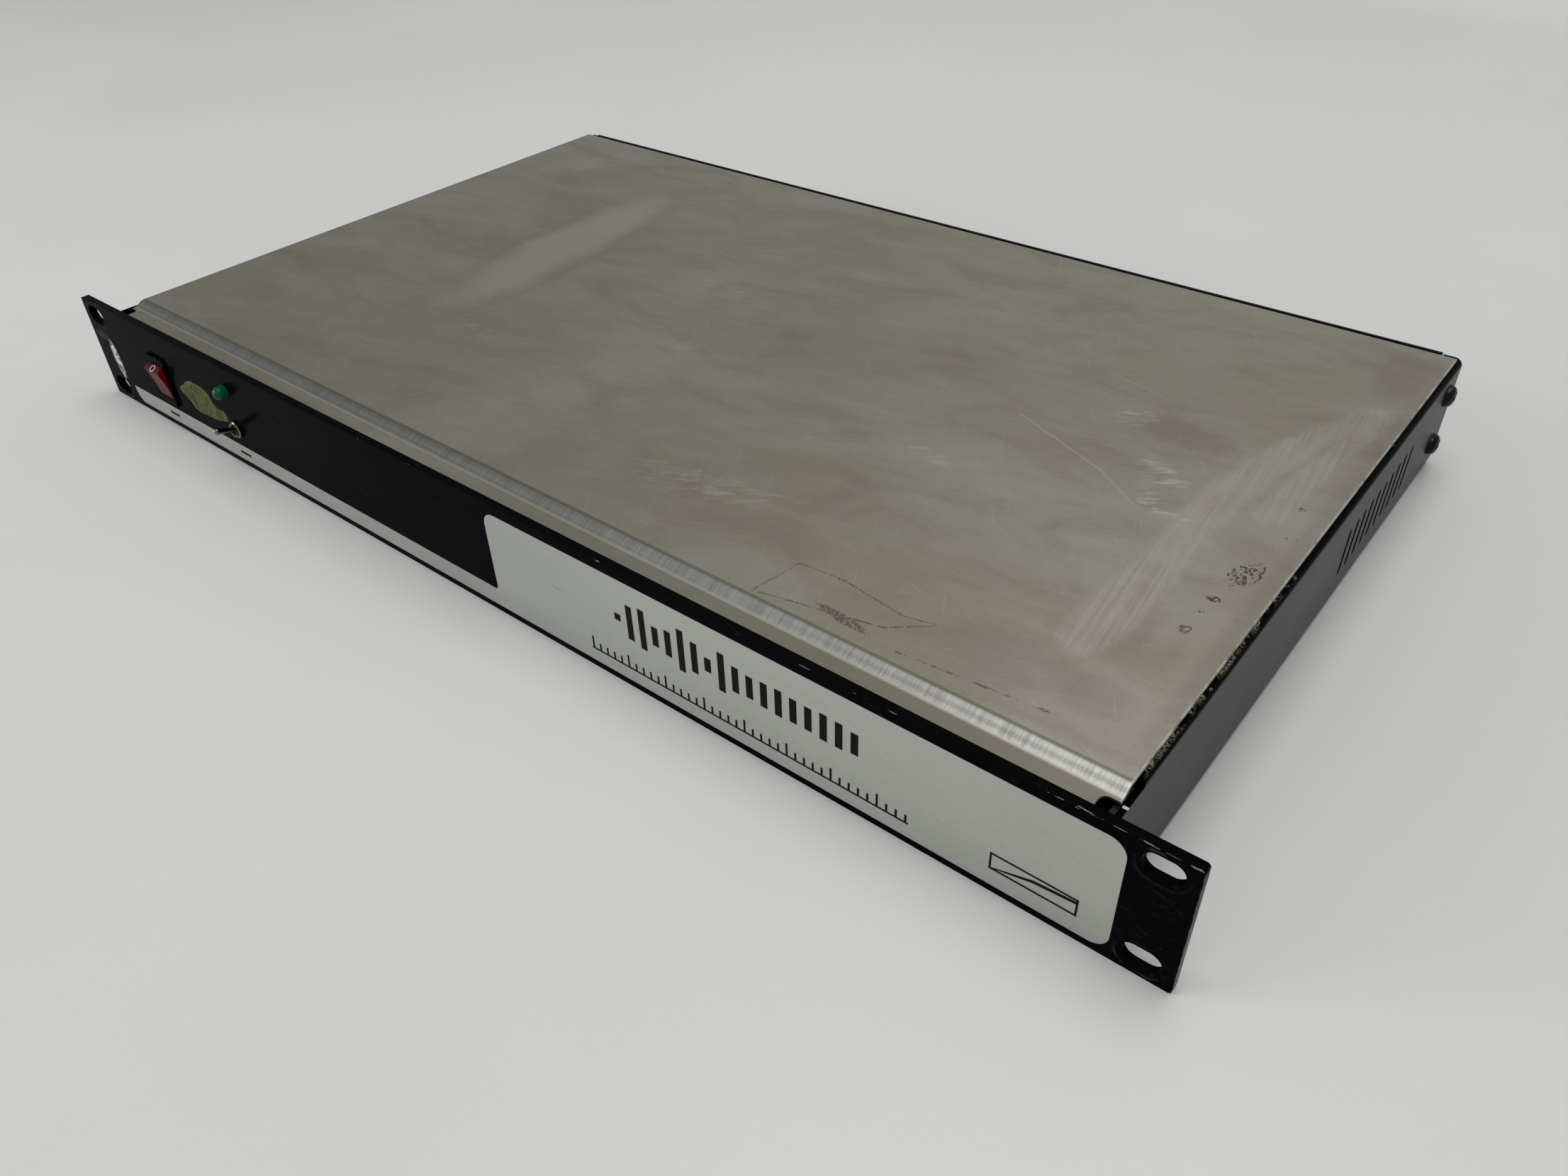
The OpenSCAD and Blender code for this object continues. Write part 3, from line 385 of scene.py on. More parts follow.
def brushed_field():
    """Bare panel metal, very finely brushed along its length, with a few handling marks."""
    s = Surface("brushed_field", rgb(178, 180, 176), 0.36, 1.0)
    lines = s.noise(0.12, 2, 0.6, stretch=(200, 1, 1))
    broad = s.noise(1.4, 3, 0.6, stretch=(40, 1, 1), seed=3)
    cloud = s.noise(30, 3, 0.5, stretch=(1.6, 1, 1), seed=5)
    mark = s.spot((40, None, 2.6), (3.2, 1, 0.4), wobble=1.6, size=1.2, turn=-12)
    hair = s.scratches(0.16, 12, 20, seed=6)
    left_end = s.x.step(-60, 150, 1.0, 0.0)
    specks = s.noise(0.35, 2, 0.6, seed=7)
    tone = s.mix(lines.step(0.3, 0.7), rgb(189, 191, 185), rgb(194, 196, 190))
    tone = s.mix(left_end, tone, rgb(168, 171, 166))
    tone = s.mix(specks.step(0.35, 0.65) * 0.3, tone, rgb(170, 172, 166))
    tone = s.mix(broad.step(0.4, 0.75) * 0.15, tone, rgb(168, 170, 165))
    tone = s.mix(cloud.step(0.45, 0.8) * 0.3, tone, rgb(200, 202, 197))
    tone = s.mix(mark * 0.3 + hair * 0.2, tone, rgb(128, 129, 125))
    s.set(base_color=tone, roughness=0.34 + lines * 0.08 + cloud * 0.05 + mark * 0.1)
    s.bump(lines + broad * 0.3 - hair * 0.5, 0.003)
    return s.material


def print_ink():
    """Flat black printing ink, slightly uneven over the brushed metal."""
    s = Surface("print_black", rgb(10, 10, 11), 0.5, specular_ior_level=0.06)
    lines = s.noise(0.16, 3, 0.7, stretch=(160, 1, 1))
    worn = s.noise(1.6, 4, 0.7, seed=2).step(0.66, 0.78)
    s.set(base_color=s.mix(worn * 0.4, rgb(10, 10, 11), rgb(54, 55, 54)), roughness=0.46 + lines * 0.12)
    s.bump(lines, 0.004)
    return s.material


def cover_metal():
    """Aged bare sheet: brown-grey bloom, smeared clouds, bright rubbed bands, a brushed ramp with painted light
    and shade, and old glue.
    """
    s = Surface("cover_metal", rgb(140, 135, 124), 0.42, 1.0)
    grain = s.noise(0.2, 3, 0.7, stretch=(1, 60, 1))
    cross = s.noise(0.26, 3, 0.7, stretch=(70, 1, 1), seed=4)
    bloom = s.noise(85, 4, 0.55, warp=0.7, seed=1)
    cloud = s.noise(22, 5, 0.6, stretch=(2.2, 1, 1), warp=1.0, seed=2, turn=-8)
    wisp = s.noise(6, 5, 0.62, stretch=(4, 1, 1), warp=0.9, seed=6, turn=-16)
    dash = s.noise(1.5, 4, 0.65, stretch=(5, 1, 1), warp=0.5, seed=13, turn=-30)
    stroke = s.noise(1.3, 4, 0.65, stretch=(1, 26, 1), seed=8, turn=-6)

    olive, grey, dusk, pale = rgb(137, 132, 117), rgb(146, 142, 134), rgb(122, 116, 105), rgb(166, 163, 156)
    tone = s.mix(bloom.step(0.32, 0.68), olive, grey)
    tone = s.mix(cloud.step(0.46, 0.7) * 0.5, tone, dusk)
    tone = s.mix(cloud.step(0.3, 0.5, 1.0, 0.0) * 0.2, tone, pale)
    tone = s.mix(wisp.step(0.52, 0.72) * 0.17, tone, pale)
    tone = s.mix(wisp.step(0.28, 0.46, 1.0, 0.0) * 0.16, tone, dusk)
    tone = s.mix(dash.step(0.58, 0.76) * cloud.step(0.4, 0.6) * 0.35, tone, pale)
    tone = s.mix(grain.step(0.3, 0.7) * 0.12, tone, pale)
    tone = s.mix(s.noise(0.8, 3, 0.7, stretch=(1, 2.5, 1), seed=22).step(0.4, 0.7) * 0.16, tone, dusk)

    bands = most_of([
        s.line((185, 49), (187, 85), 9, wobble=6, size=14),
        s.line((187, 85), (188, 136), 8, wobble=6, size=14),
        s.line((188, 136), (195, 173), 8, wobble=6, size=14),
        s.line((195, 173), (208, 206), 7, wobble=6, size=14) * 0.8,
        s.line((202, 130), (205, 165), 6, wobble=5, size=12) * 0.8,
        s.line((205, 165), (209, 193), 5, wobble=4, size=12) * 0.8,
    ])
    bands = bands * stroke.step(0.3, 0.66, 0.2, 1.0)
    tone = s.mix(bands * 0.55, tone, rgb(171, 166, 161))
    smears = most_of([
        s.spot((146, 160, None), (7, 6, 1), wobble=2.0, size=5, soft=0.7),
        s.spot((168, 133, None), (9, 5, 1), wobble=2.0, size=5, soft=0.7, turn=-25),
        s.spot((174, 117, None), (9, 4, 1), wobble=2.0, size=5, soft=0.7, turn=-30),
        s.spot((183, 113, None), (4, 2.5, 1), wobble=2.0, size=3, soft=0.7),
        s.spot((104, 100, None), (10, 3, 1), wobble=1.6, size=6, soft=0.9, turn=-10) * 0.6,
        s.spot((60, 46, None), (26, 7, 1), wobble=1.6, size=12, soft=0.9, turn=14) * 0.5,
        s.spot((-85, 73, None), (10, 4, 1), wobble=1.6, size=6, soft=0.9) * 0.6,
        s.spot((-22, 155, None), (20, 7, 1), wobble=1.6, size=9, soft=0.9) * 0.4,
    ])
    tone = s.mix(smears * dash.step(0.48, 0.62) * 0.7, tone, rgb(176, 172, 164))

    pool = s.spot((-116, 148, None), (15, 64, 1), wobble=1.3, size=20, soft=0.7, turn=5)
    pool_rim = s.spot((-115, 148, None), (20, 70, 1), wobble=1.3, size=20, soft=0.6, turn=5) - pool
    tone = s.mix(pool * 0.55, tone, rgb(174, 171, 163))
    tone = s.mix(pool_rim.most(0) * 0.25, tone, rgb(116, 108, 98))
    dark = most_of([
        s.spot((163, 159, None), (15, 8, 1), wobble=1.5, size=7, soft=0.8) * 0.8,
        s.spot((60, 150, None), (80, 42, 1), wobble=1.0, size=40, soft=0.9) * 0.4,
        s.spot((208, 240, None), (9, 20, 1), wobble=1.6, size=9, soft=0.8) * 0.6,
        s.spot((198, 32, None), (9, 7, 1), wobble=1.6, size=6, soft=0.8) * 0.5,
        s.x.step(cover_high.x - 7, cover_high.x - 3) * s.y.within(20, 250, 30) * 0.5,
    ])
    tone = s.mix(dark * 0.42, tone, rgb(104, 96, 92))

    outline = [(104, 13.5), (107, 31), (122, 32), (143, 29), (148, 30), (154, 32), (142, 22)]
    outline += [(129, 19), (106, 14)]
    cracks = s.noise(1.6, 4, 0.75, warp=1.5, seed=17)
    tape = most_of([s.line(a, b, 0.36, wobble=1.1, size=2.5) for a, b in zip(outline, outline[1:])])
    tape = tape.most(s.line((150, 16), (192, 20), 0.26, wobble=2.4, size=5)) * cracks.step(0.44, 0.5)
    island = s.spot((131, 18.5, None), (11, 2.0, 1), soft=0.6, turn=-8)
    tape = tape.most((cracks * 0.62 + island * 0.3).step(0.585, 0.6) * island.step(0.05, 0.3))
    flakes = s.noise(2.4, 3, 0.55, warp=1.6, stretch=(0.8, 1.3, 1), seed=19)
    near = most_of([
        s.spot((208, 100, None), (4.4, 8.5, 1), soft=0.6, turn=-14),
        s.spot((204.8, 84.6, None), (2.8, 1.8, 1), soft=0.6),
        s.spot((204.6, 68.2, None), (2.2, 2.4, 1), soft=0.6),
        s.spot((205.0, 77.5, None), (1.7, 1.7, 1), soft=0.6) * 0.9,
        s.spot((210.0, 138.0, None), (4.4, 5.5, 1), soft=0.6) * 0.72,
        s.spot((212.0, 122.8, None), (3.0, 1.6, 1), soft=0.6) * 0.75,
    ])
    flecks = (flakes * 0.6 + near * 0.3).step(0.6, 0.615) * near.step(0.1, 0.5)
    specks = s.noise(1.2, 2, 0.5, seed=21).step(0.8, 0.83)
    residue = flecks.most(tape * 0.85).most(specks * 0.6)
    hair = s.scratches(0.22, 26, 63, seed=2, cover=0.7) * 0.4
    hair = hair + s.scratches(0.2, 18, 24, seed=9, cover=0.7) * 0.4
    hair = hair + s.line((114, 140), (152, 124), 0.4, wobble=0.5)
    hair = hair + s.line((152, 124), (168, 113), 0.3, wobble=0.5)
    hair = hair + s.line((125, 183), (147, 178), 0.4, wobble=0.5) * 0.8
    tone = s.mix(hair * 0.35, tone, rgb(186, 182, 172))

    # Painted light and shade on the ramp: its face is painted darker than the sheet and lighter towards the
    # right, its streaks get a painted sheen, its upper bend a painted dark reflection and its lower bend a
    # painted highlight.
    ramp = s.y.within(RAMP_FRONT + 0.8, RAMP_REAR - 0.6, 0.5)
    painted_dark_upper_bend = s.y.within(RAMP_REAR - 0.9, RAMP_REAR + 0.2, 0.4)
    painted_highlight_lower_bend = s.y.within(RAMP_FRONT + 0.2, RAMP_FRONT + 1.1, 0.4)
    streak = s.noise(0.42, 3, 0.8, stretch=(1, 60, 60), seed=11)
    bundle = s.noise(3, 3, 0.6, stretch=(1, 60, 60), seed=12)
    # Painted light: how strongly the ramp is lit, growing towards the right.
    bright = s.x.step(-60, 170)
    sheen = (streak * 0.75 + bundle * 0.25).step(0.32, 0.68)
    tone = s.mix(ramp, tone, s.mix(bright, rgb(106, 105, 99), rgb(126, 125, 121)))
    tone = s.mix(ramp * sheen * (bright * 0.5 + 0.3), tone, rgb(166, 166, 162))
    tone = s.mix(painted_dark_upper_bend * 0.55, tone, rgb(76, 73, 66))
    tone = s.mix(painted_highlight_lower_bend * 0.45, tone, rgb(176, 173, 166))
    # Painted shade on the strip in front of the ramp, growing towards the right.
    tone = s.mix(s.y.within(-2, RAMP_FRONT, 0.4) * bright * 0.6, tone, rgb(112, 107, 97))
    rim = (cover_high.x - s.x).step(0.0, 0.7, 1.0, 0.0).most((cover_high.y - s.y).step(0.0, 0.6, 1.0, 0.0))
    tone = s.mix(rim * s.noise(5, 3, seed=3).step(0.3, 0.55) * 0.8, tone, rgb(198, 194, 186))
    tone = s.mix(residue, tone, rgb(64, 58, 50))

    gloss = 0.4 + bloom * 0.08 + cloud * 0.08 - bands * 0.05 - pool * 0.08 + grain * 0.06
    s.set(base_color=tone, metallic=1 - residue * 0.9, roughness=gloss - ramp * 0.08 + residue * 0.35)
    relief = grain * 0.8 + cross * 0.3 + streak * ramp * 1.2 - hair * 0.6 + residue * 1.6
    s.bump(relief, 0.008)
    return s.material


# ---------------------------------------------------------------- finishes of the small parts


def plastic(name, color, roughness, grain=0.5, shine=0.3):
    """Moulded plastic: fine grain, a slightly uneven gloss, handling rubs and dust."""
    s = Surface(name, color, roughness, specular_ior_level=shine)
    grains = s.noise(grain, 2, 0.6)
    cloud = s.noise(9, 3, seed=1)
    rub = s.scratches(0.16, 5, 35, seed=3)
    tone = s.mix(cloud.step(0.3, 0.7), color, shade(color, 0.65))
    s.set(base_color=s.mix(rub * 0.2, tone, DUST))
    s.set(roughness=roughness - 0.07 + cloud * 0.14 - rub * 0.1)
    s.bump(grains + rub, 0.012)
    return s.material


def plated(name, color, roughness, stretch=(1, 1, 1), dull=(92, 86, 76), share=0.5):
    """Plated or drawn metal: fine drawing lines, dull patches and small pits."""
    s = Surface(name, color, roughness, 1.0)
    lines = s.noise(0.22, 3, 0.6, stretch=stretch)
    patch = s.noise(3.5, 4, 0.65, seed=2).step(0.48, 0.78)
    pits = s.noise(0.5, 2, 0.6, seed=7).step(0.68, 0.76)
    tone = s.mix(patch * share, color, rgb(*dull))
    s.set(base_color=s.mix(pits * 0.5, tone, rgb(60, 54, 46)))
    s.set(roughness=roughness - 0.06 + lines * 0.1 + patch * 0.16 + pits * 0.2)
    s.bump(lines - pits * 1.5, 0.008)
    return s.material


def sheet_steel(name, color, roughness):
    """Zinc plated sheet: a faint spangle, rolling lines and a few scratches."""
    s = Surface(name, color, roughness, 1.0)
    spangle = s.noise(7, 2, 0.4, warp=1.5)
    lines = s.noise(0.3, 3, 0.6, stretch=(1, 40, 1))
    hair = s.scratches(0.3, 24, 55, seed=4)
    tone = s.mix(spangle.step(0.35, 0.65), color, shade(color, 0.78))
    s.set(base_color=s.mix(hair * 0.3, tone, rgb(205, 205, 202)))
    s.set(roughness=roughness + spangle * 0.12 + lines * 0.05)
    s.bump(lines + hair, 0.006)
    return s.material


def red_rocker():
    """Clear red moulded plastic: deep red above, a painted pinkish sheen below, painted light on its side
    walls, and specks of dust.
    """
    s = Surface("red_plastic", rgb(90, 6, 10), 0.32, specular_ior_level=0.05)
    s.set(subsurface_weight=0.1, subsurface_radius=(1.0, 0.1, 0.08), subsurface_scale=0.0012)
    cloud = s.noise(3.2, 3, 0.5)
    grains = s.noise(0.35, 2, 0.5, seed=2)
    rub = s.scratches(0.12, 4, 70, seed=5)
    # Painted light: the side walls are painted bright red.
    painted_lit_side = abs(s.facing()[0]).step(0.4, 0.8)
    # Painted sheen: pinkish grey low on the face, deep red above.
    tone = s.mix(s.z.step(2, 9), rgb(82, 34, 33), rgb(56, 10, 15))
    tone = s.mix(painted_lit_side, tone, rgb(128, 0, 4))
    tone = s.mix(cloud.step(0.4, 0.7) * 0.3, tone, rgb(92, 12, 16))
    dust = s.noise(0.7, 2, seed=8).step(0.66, 0.74) * (1 - painted_lit_side)
    s.set(base_color=s.mix(dust * 0.12 + rub * 0.15, tone, rgb(128, 84, 80)))
    s.set(roughness=0.26 + cloud * 0.12 + rub * 0.15 + dust * 0.2)
    s.bump(grains + rub, 0.008)
    return s.material


def white_print():
    """Pad-printed white ink with a slightly rough, worn face."""
    s = Surface("white_print", rgb(206, 198, 194), 0.55)
    worn = s.noise(0.8, 4, 0.7).step(0.6, 0.75)
    s.set(base_color=s.mix(worn * 0.5, rgb(206, 198, 194), rgb(150, 110, 108)), roughness=0.5 + worn * 0.2)
    s.bump(worn, 0.01)
    return s.material


def green_lens():
    """Tinted clear green dome: deep green, darker in its middle, with fine moulding marks."""
    s = Surface("green_lens", rgb(0, 84, 50), 0.1, specular_ior_level=0.12)
    s.set(coat_weight=0.05, coat_roughness=0.05)
    cloud = s.noise(1.6, 3)
    low, high = box_mm("lamp_lens")
    core = s.spot(((low.x + high.x) / 2, None, (low.z + high.z) / 2), (1.6, 1, 1.6), soft=0.5)
    tone = s.mix(core * 0.6, rgb(0, 82, 50), rgb(0, 58, 36))
    s.set(base_color=s.mix(cloud.step(0.4, 0.7) * 0.4, tone, rgb(2, 90, 56)), roughness=0.1 + cloud * 0.1)
    s.bump(s.noise(0.5, 2, seed=3), 0.006)
    return s.material


def lamp_glass():
    """Small clear glass envelope with a faint bloom."""
    s = Surface("lamp_glass", rgb(214, 208, 196), 0.06, ior=1.47, transmission_weight=0.6)
    cloud = s.noise(1.8, 3)
    s.set(base_color=s.mix(cloud.step(0.4, 0.7), rgb(220, 214, 202), rgb(190, 168, 140)))
    s.set(roughness=0.05 + cloud * 0.12)
    s.bump(cloud, 0.01)
    return s.material


def board_green():
    """Solder-masked board: copper tracks show as lighter lines under the mask."""
    s = Surface("board_green", rgb(30, 74, 46), 0.35, coat_weight=0.3, coat_roughness=0.2)
    grid = s.add("ShaderNodeTexBrick", offset=0.5, offset_frequency=2, squash=1.0)
    s.feed(grid.inputs["Vector"], s.mapped(0, (0.09, 0.16, 0.16)))
    for key, value in {"Scale": 1.0, "Mortar Size": 0.06, "Mortar Smooth": 0.2, "Bias": 0.0}.items():
        s.feed(grid.inputs[key], value)
    track = Field(s, grid.outputs["Fac"]) * s.noise(9, 2, seed=3).step(0.4, 0.5)
    cloud = s.noise(24, 3)
    tone = s.mix(cloud.step(0.3, 0.7), rgb(26, 66, 40), rgb(36, 84, 52))
    s.set(base_color=s.mix(track * 0.7, tone, rgb(70, 118, 72)), roughness=0.32 + cloud * 0.12)
    s.bump(track + s.noise(0.5, 2, seed=6) * 0.3, 0.03)
    return s.material


def coil_tape():
    """Polyester tape wound round a coil: overlapping edges and a slight sheen."""
    s = Surface("coil_tape", rgb(176, 142, 58), 0.32, coat_weight=0.3, coat_roughness=0.25)
    lap = s.add("ShaderNodeTexWave", wave_type="BANDS", bands_direction="Z", wave_profile="SAW")
    s.feed(lap.inputs["Vector"], s.mapped(0, (0.09, 0.09, 0.09)))
    s.feed(lap.inputs["Distortion"], 0.4)
    laps = Field(s, lap.outputs["Fac"])
    crease = s.noise(3, 4, 0.7, stretch=(3, 3, 1), seed=2)
    s.set(base_color=s.mix(laps * 0.4 + crease * 0.3, rgb(184, 150, 64), rgb(128, 96, 38)))
    s.set(roughness=0.28 + crease * 0.2)
    s.bump(laps + crease, 0.08)
    return s.material


def core_steel():
    """Stacked laminations: fine lines across the pack, varnished, with light rust."""
    s = Surface("core_steel", rgb(96, 96, 98), 0.4, 0.85)
    plates = s.noise(0.35, 2, 0.5, stretch=(1, 60, 60))
    rust = s.noise(5, 5, 0.7, seed=4).step(0.6, 0.72)
    tone = s.mix(plates.step(0.35, 0.65), rgb(70, 70, 72), rgb(116, 116, 118))
    s.set(base_color=s.mix(rust * 0.6, tone, rgb(104, 66, 44)), roughness=0.36 + rust * 0.3)
    s.bump(plates + rust * 0.4, 0.04)
    return s.material


def shrink_sleeve(name, color, roughness):
    """Plastic sleeve on a capacitor: slight waves, a few pale smudges and a glossy skin."""
    s = Surface(name, color, roughness, coat_weight=0.4, coat_roughness=0.15)
    waves = s.noise(2.4, 3, 0.5, stretch=(1, 1, 4))
    smudge = s.noise(4, 1, seed=3).step(0.55, 0.6)
    tone = s.mix(waves.step(0.3, 0.7) * 0.5, color, shade(color, 0.7))
    s.set(base_color=s.mix(smudge * 0.12, tone, rgb(190, 194, 200)), roughness=roughness + waves * 0.1)
    s.bump(waves, 0.05)
    return s.material


def insulation(name, color):
    """Wire insulation: matt, with fine extrusion lines and grime."""
    s = Surface(name, color, 0.45)
    lines = s.noise(0.3, 2, stretch=(1, 20, 1))
    grime = s.noise(8, 4, 0.6, seed=2).step(0.45, 0.75)
    s.set(base_color=s.mix(grime * 0.4, color, shade(color, 0.5)), roughness=0.4 + grime * 0.2)
    s.bump(lines, 0.02)
    return s.material


def finishes():
    """One material for each slot in the record."""
    made = [front_paint(), side_paint(), rear_paint(), brushed_field(), print_ink(), cover_metal()]
    made += [red_rocker(), green_lens(), lamp_glass(), board_green(), coil_tape(), core_steel()]
    made += [
        plastic("black_plastic", rgb(10, 10, 11), 0.25, shine=0.006),
        plastic("core_black", rgb(18, 18, 20), 0.42, 0.3),
        plastic("chip_black", rgb(26, 26, 28), 0.5, 0.2),
        plastic("toggle_red", rgb(126, 28, 26), 0.4),
        plastic("film_red", rgb(150, 40, 30), 0.3, 0.8),
        plastic("inner_black", rgb(24, 25, 27), 0.5, 0.9),
        plated("bright_chrome", rgb(112, 106, 94), 0.12, (1, 6, 1), (70, 60, 44), 0.7),
        plated("black_screw", rgb(34, 34, 36), 0.3, dull=(74, 70, 64), share=0.5),
        plated("zinc", rgb(178, 180, 178), 0.34, dull=(132, 128, 110)),
        plated("tinned", rgb(190, 190, 186), 0.3, (6, 1, 1)),
        plated("brass_pin", rgb(186, 158, 98), 0.28, (1, 8, 1), (120, 92, 50)),
        plated("cast_shell", rgb(160, 161, 160), 0.42, dull=(112, 110, 106), share=0.7),
        plated("sink_black", rgb(30, 30, 32), 0.42, (1, 12, 1), (60, 60, 62)),
        plated("latch_metal", rgb(176, 176, 174), 0.32, (1, 1, 6), (110, 108, 104), 0.6),
        sheet_steel("tray_metal", rgb(150, 150, 146), 0.38),
        shrink_sleeve("can_blue", rgb(34, 52, 104), 0.28),
        insulation("lead_brown", rgb(92, 54, 34)),
        insulation("lead_grey", rgb(120, 122, 124)),
    ]
    return {material.name.split(".")[0]: material for material in made}


def dress_nodes(made):
    """Puts each CAD node's finish in its material slots, which the record names.

    Blender adds a dot and a number to a name that is already taken, so only the part before the dot counts.
    """
    for obj in nodes.values():
        for slot in obj.material_slots:
            slot.material = made[slot.material.name.split(".")[0]]


# ---------------------------------------------------------------- small surface pieces


def new_piece(name, build, material, body):
    """Makes a smooth piece from a bmesh in metres, riding on a CAD body."""
    mesh = bpy.data.meshes.new(name)
    for face in build.faces:
        face.smooth = True
    build.to_mesh(mesh)
    build.free()
    piece = bpy.data.objects.new(name, mesh)
    bpy.context.collection.objects.link(piece)
    mesh.materials.append(material)
    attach(piece, body)


def rocker_ring(ink):
    """The off mark on the rocker's upper end wall: an oval ring of white ink that wraps round the drum."""
    low, high = box_mm("rocker_housing")
    centre_x, pivot_y, pivot_z = (low.x + high.x) / 2, ROCKER_PIVOT_Y, (low.z + high.z) / 2
    wide, tall, stroke, proud, sunk, turns = 1.25, 1.3, 0.17, 0.05, -0.05, 48
    profile = ((-1, sunk), (-1, proud), (0, proud + 0.02), (1, proud), (1, sunk))
    build = bmesh.new()
    rows = []
    for i in range(turns):
        turn = math.tau * i / turns
        row = []
        for share, lift in profile:
            across = math.cos(turn) * (wide + share * stroke)
            around = math.radians(OFF_MARK_ANGLE) + math.sin(turn) * (tall + share * stroke) / ROCKER_R
            reach = ROCKER_R + lift
            y, z = pivot_y - reach * math.cos(around), pivot_z + reach * math.sin(around)
            row.append(build.verts.new(Vector((centre_x + across, y, z)) * MM))
        rows.append(row)
    for a, b in zip(rows, rows[1:] + rows[:1]):
        for j in range(len(profile)):
            k = (j + 1) % len(profile)
            build.faces.new((a[j], a[k], b[k], b[j]))
    new_piece("off_mark", build, ink, "rocker")


def smooth_loop(points, steps):
    """A closed curve through points, with steps pieces between each pair."""
    out = []
    count = len(points)
    for i in range(count):
        p0, p1, p2, p3 = (Vector(points[(i + k) % count]) for k in (-1, 0, 1, 2))
        for j in range(steps):
            t = j / steps
            out.append(0.5 * (2 * p1 + (p2 - p0) * t + (2 * p0 - 5 * p1 + 4 * p2 - p3) * t * t
                              + (3 * p1 - p0 - 3 * p2 + p3) * t ** 3))
    return out


def glue_residue(material):
    """A smear of old glue between the rocker and the toggle: thin in the middle, with a crinkled rim."""
    outline = smooth_loop(GLUE_OUTLINE, 8)
    middle = sum(outline, Vector((0, 0))) / len(outline)
    # Each ring of the smear: its share of the outline's size, and how far it stands out from the panel.
    rings = [(1.0, -0.1), (1.0, 0.02), (0.97, 0.08), (0.93, 0.14), (0.87, 0.12), (0.8, 0.08), (0.68, 0.06)]
    rings += [(0.5, 0.06), (0.3, 0.07), (0.12, 0.06)]
    build = bmesh.new()
    rows = []
    for share, lift in rings:
        row = []
        for point in outline:
            x, z = middle + (point - middle) * share
            wave = noise.fractal(Vector((x * 0.9, z * 0.9, 3.0)), 1.0, 2.0, 4)
            edge = noise.fractal(Vector((x * 1.3, z * 1.3, 9.0)), 0.8, 2.0, 4) * 0.45 * share
            tall = lift * (1 + wave * 0.8) if lift > 0 else lift
            row.append(build.verts.new(Vector((x + edge, panel_low.y - tall, z - edge)) * MM))
        rows.append(row)
    count = len(outline)
    for a, b in zip(rows, rows[1:]):
        for j in range(count):
            k = (j + 1) % count
            build.faces.new((a[j], a[k], b[k], b[j]))
    build.faces.new(rows[-1])
    build.faces.new(rows[0][::-1])
    bmesh.ops.recalc_face_normals(build, faces=build.faces)
    new_piece("glue_residue", build, material, "case")


def glue():
    """Old yellow-green glue: dark and thin in the middle, dusty and paler on its ridges."""
    s = Surface("old_glue", rgb(84, 88, 48), 0.6, specular_ior_level=0.1)
    height = panel_low.y - s.y
    patch = s.noise(2.6, 5, 0.7, warp=1.2)
    fine = s.noise(0.5, 4, 0.7, seed=4)
    thick = height.step(0.05, 0.2)
    tone = s.mix(patch.step(0.4, 0.62), rgb(54, 58, 36), rgb(88, 94, 46))
    tone = s.mix(thick * 0.6, tone, rgb(104, 108, 56))
    tone = s.mix(fine.step(0.55, 0.72) * 0.5, tone, rgb(40, 42, 30))
    s.set(base_color=tone, roughness=0.5 + fine * 0.25)
    s.bump(fine + patch, 0.12)
    return s.material


def smooth_bends():
    """A modifier's node group that shades the fine facets of bent sheet as one smooth surface."""
    tree = bpy.data.node_groups.new("smooth_bends", "GeometryNodeTree")
    for flow in ("INPUT", "OUTPUT"):
        tree.interface.new_socket("Geometry", in_out=flow, socket_type="NodeSocketGeometry")
    entry, leave = tree.nodes.new("NodeGroupInput"), tree.nodes.new("NodeGroupOutput")
    angle, small = tree.nodes.new("GeometryNodeInputMeshEdgeAngle"), tree.nodes.new("FunctionNodeCompare")
    small.operation = "LESS_THAN"
    small.inputs[1].default_value = math.radians(BEND_ANGLE)
    faces, edges = (tree.nodes.new("GeometryNodeSetShadeSmooth") for _ in range(2))
    edges.domain = "EDGE"
    tree.links.new(entry.outputs[0], faces.inputs["Geometry"])
    tree.links.new(faces.outputs[0], edges.inputs["Geometry"])
    tree.links.new(angle.outputs[0], small.inputs[0])
    tree.links.new(small.outputs[0], edges.inputs["Shade Smooth"])
    tree.links.new(edges.outputs[0], leave.inputs[0])
    return tree


def round_edges():
    """Smooths the bends and rounds the sharp edges of the visible shells."""
    smoother = smooth_bends()
    for name, width in EDGE_RADII.items():
        obj = nodes[name]
        weld = obj.modifiers.new("weld", "WELD")
        weld.merge_threshold = WELD_GAP * MM
        flat = obj.modifiers.new("flat", "DECIMATE")
        flat.decimate_type = "DISSOLVE"
        flat.angle_limit = math.radians(FLAT_ANGLE)
        obj.modifiers.new("smooth", "NODES").node_group = smoother
        edge = obj.modifiers.new("edge", "BEVEL")
        edge.width = width * MM
        edge.segments = 2
        edge.limit_method = "ANGLE"
        edge.angle_limit = math.radians(EDGE_ANGLE)
        edge.harden_normals = True
        edge.use_clamp_overlap = True


# ---------------------------------------------------------------- camera, light and floor


def aim(obj, forward, roll=0.0):
    """Turns a camera or lamp to look along forward, then rolls it by degrees."""
    turn = Vector(forward).to_track_quat("-Z", "Y").to_matrix()
    obj.rotation_euler = (turn @ Matrix.Rotation(math.radians(roll), 3, "Z")).to_euler()


def make_camera():
    """Stands at the right front corner, above the panel, and looks across the cover to the left rear."""
    place, target = Vector((0.2782, -0.1806, 0.2261)), Vector((0.1105, 0.0194, 0.0216))
    data = bpy.data.cameras.new("camera")
    data.lens = 27.8
    data.sensor_width = 36
    data.clip_start = 0.01
    data.clip_end = 20
    camera = bpy.data.objects.new("camera", data)
    bpy.context.collection.objects.link(camera)
    camera.location = place
    aim(camera, target - place, roll=-1.93)
    bpy.context.scene.camera = camera


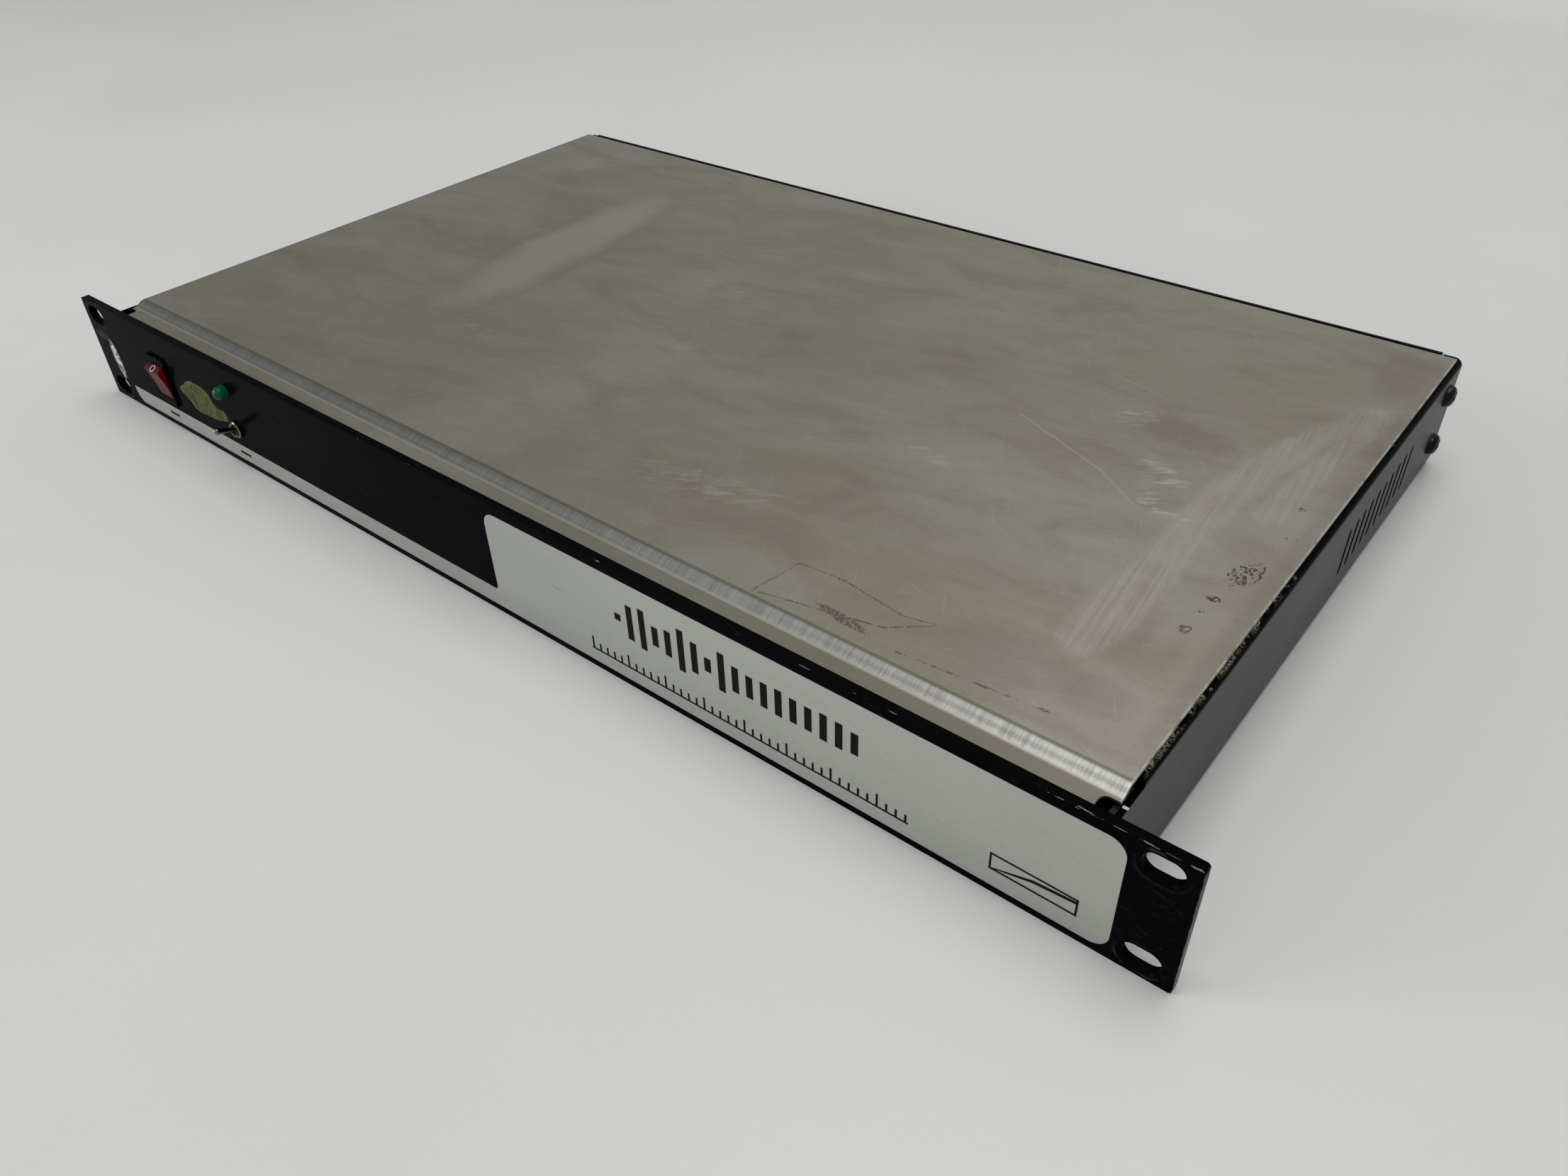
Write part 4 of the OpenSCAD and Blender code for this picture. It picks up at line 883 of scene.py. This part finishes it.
def area_light(name, place, target, size, power, color=(1, 1, 1)):
    """A soft rectangular lamp at place that faces target."""
    data = bpy.data.lights.new(name, "AREA")
    data.shape = "RECTANGLE"
    data.size, data.size_y = size
    data.energy = power
    data.color = color
    lamp = bpy.data.objects.new(name, data)
    bpy.context.collection.objects.link(lamp)
    lamp.location = place
    aim(lamp, Vector(target) - Vector(place))


def make_stage():
    """A pale floor under the part that curves up into a wall behind it."""
    floor_z = cad_box[0].z
    depth, reach, bend, turns = 1.05, 3.0, 0.12, 12
    profile = [(-reach, floor_z), (depth - bend, floor_z)]
    for i in range(1, turns + 1):
        turn = math.radians(90 * i / turns)
        profile.append((depth - bend + bend * math.sin(turn), floor_z + bend - bend * math.cos(turn)))
    profile.append((depth, floor_z + reach))
    mesh = bpy.data.meshes.new("floor")
    build = bmesh.new()
    rows = [[build.verts.new((x, y, z)) for x in (-reach, reach)] for y, z in profile]
    for a, b in zip(rows, rows[1:]):
        build.faces.new((a[0], a[1], b[1], b[0])).smooth = True
    build.to_mesh(mesh)
    build.free()
    floor = bpy.data.objects.new("floor", mesh)
    bpy.context.collection.objects.link(floor)
    s = Surface("floor", rgb(195, 196, 194), 0.5)
    cloud = s.noise(160, 4)
    s.set(base_color=s.mix(cloud, rgb(191, 192, 190), rgb(199, 200, 198)))
    s.set(roughness=0.42 + cloud * 0.2)
    mesh.materials.append(s.material)


def make_light():
    """Soft daylight from the left front, with a pale room all round."""
    world = bpy.data.worlds.new("studio")
    world.use_nodes = True
    back = world.node_tree.nodes["Background"]
    back.inputs["Color"].default_value = (0.97, 0.98, 0.99, 1)
    back.inputs["Strength"].default_value = 0.46
    bpy.context.scene.world = world
    area_light("key", (-1.4, -1.3, 0.62), (0, 0.1, 0), (0.9, 0.7), 16)
    area_light("ceiling", (0.25, 0.1, 1.9), (0.1, 0.12, 0), (1.7, 1.3), 24, (1.0, 0.99, 0.98))
    bpy.context.scene.view_settings.view_transform = "Standard"


dress_nodes(finishes())
round_edges()
rocker_ring(white_print())
glue_residue(glue())
make_camera()
make_stage()
make_light()
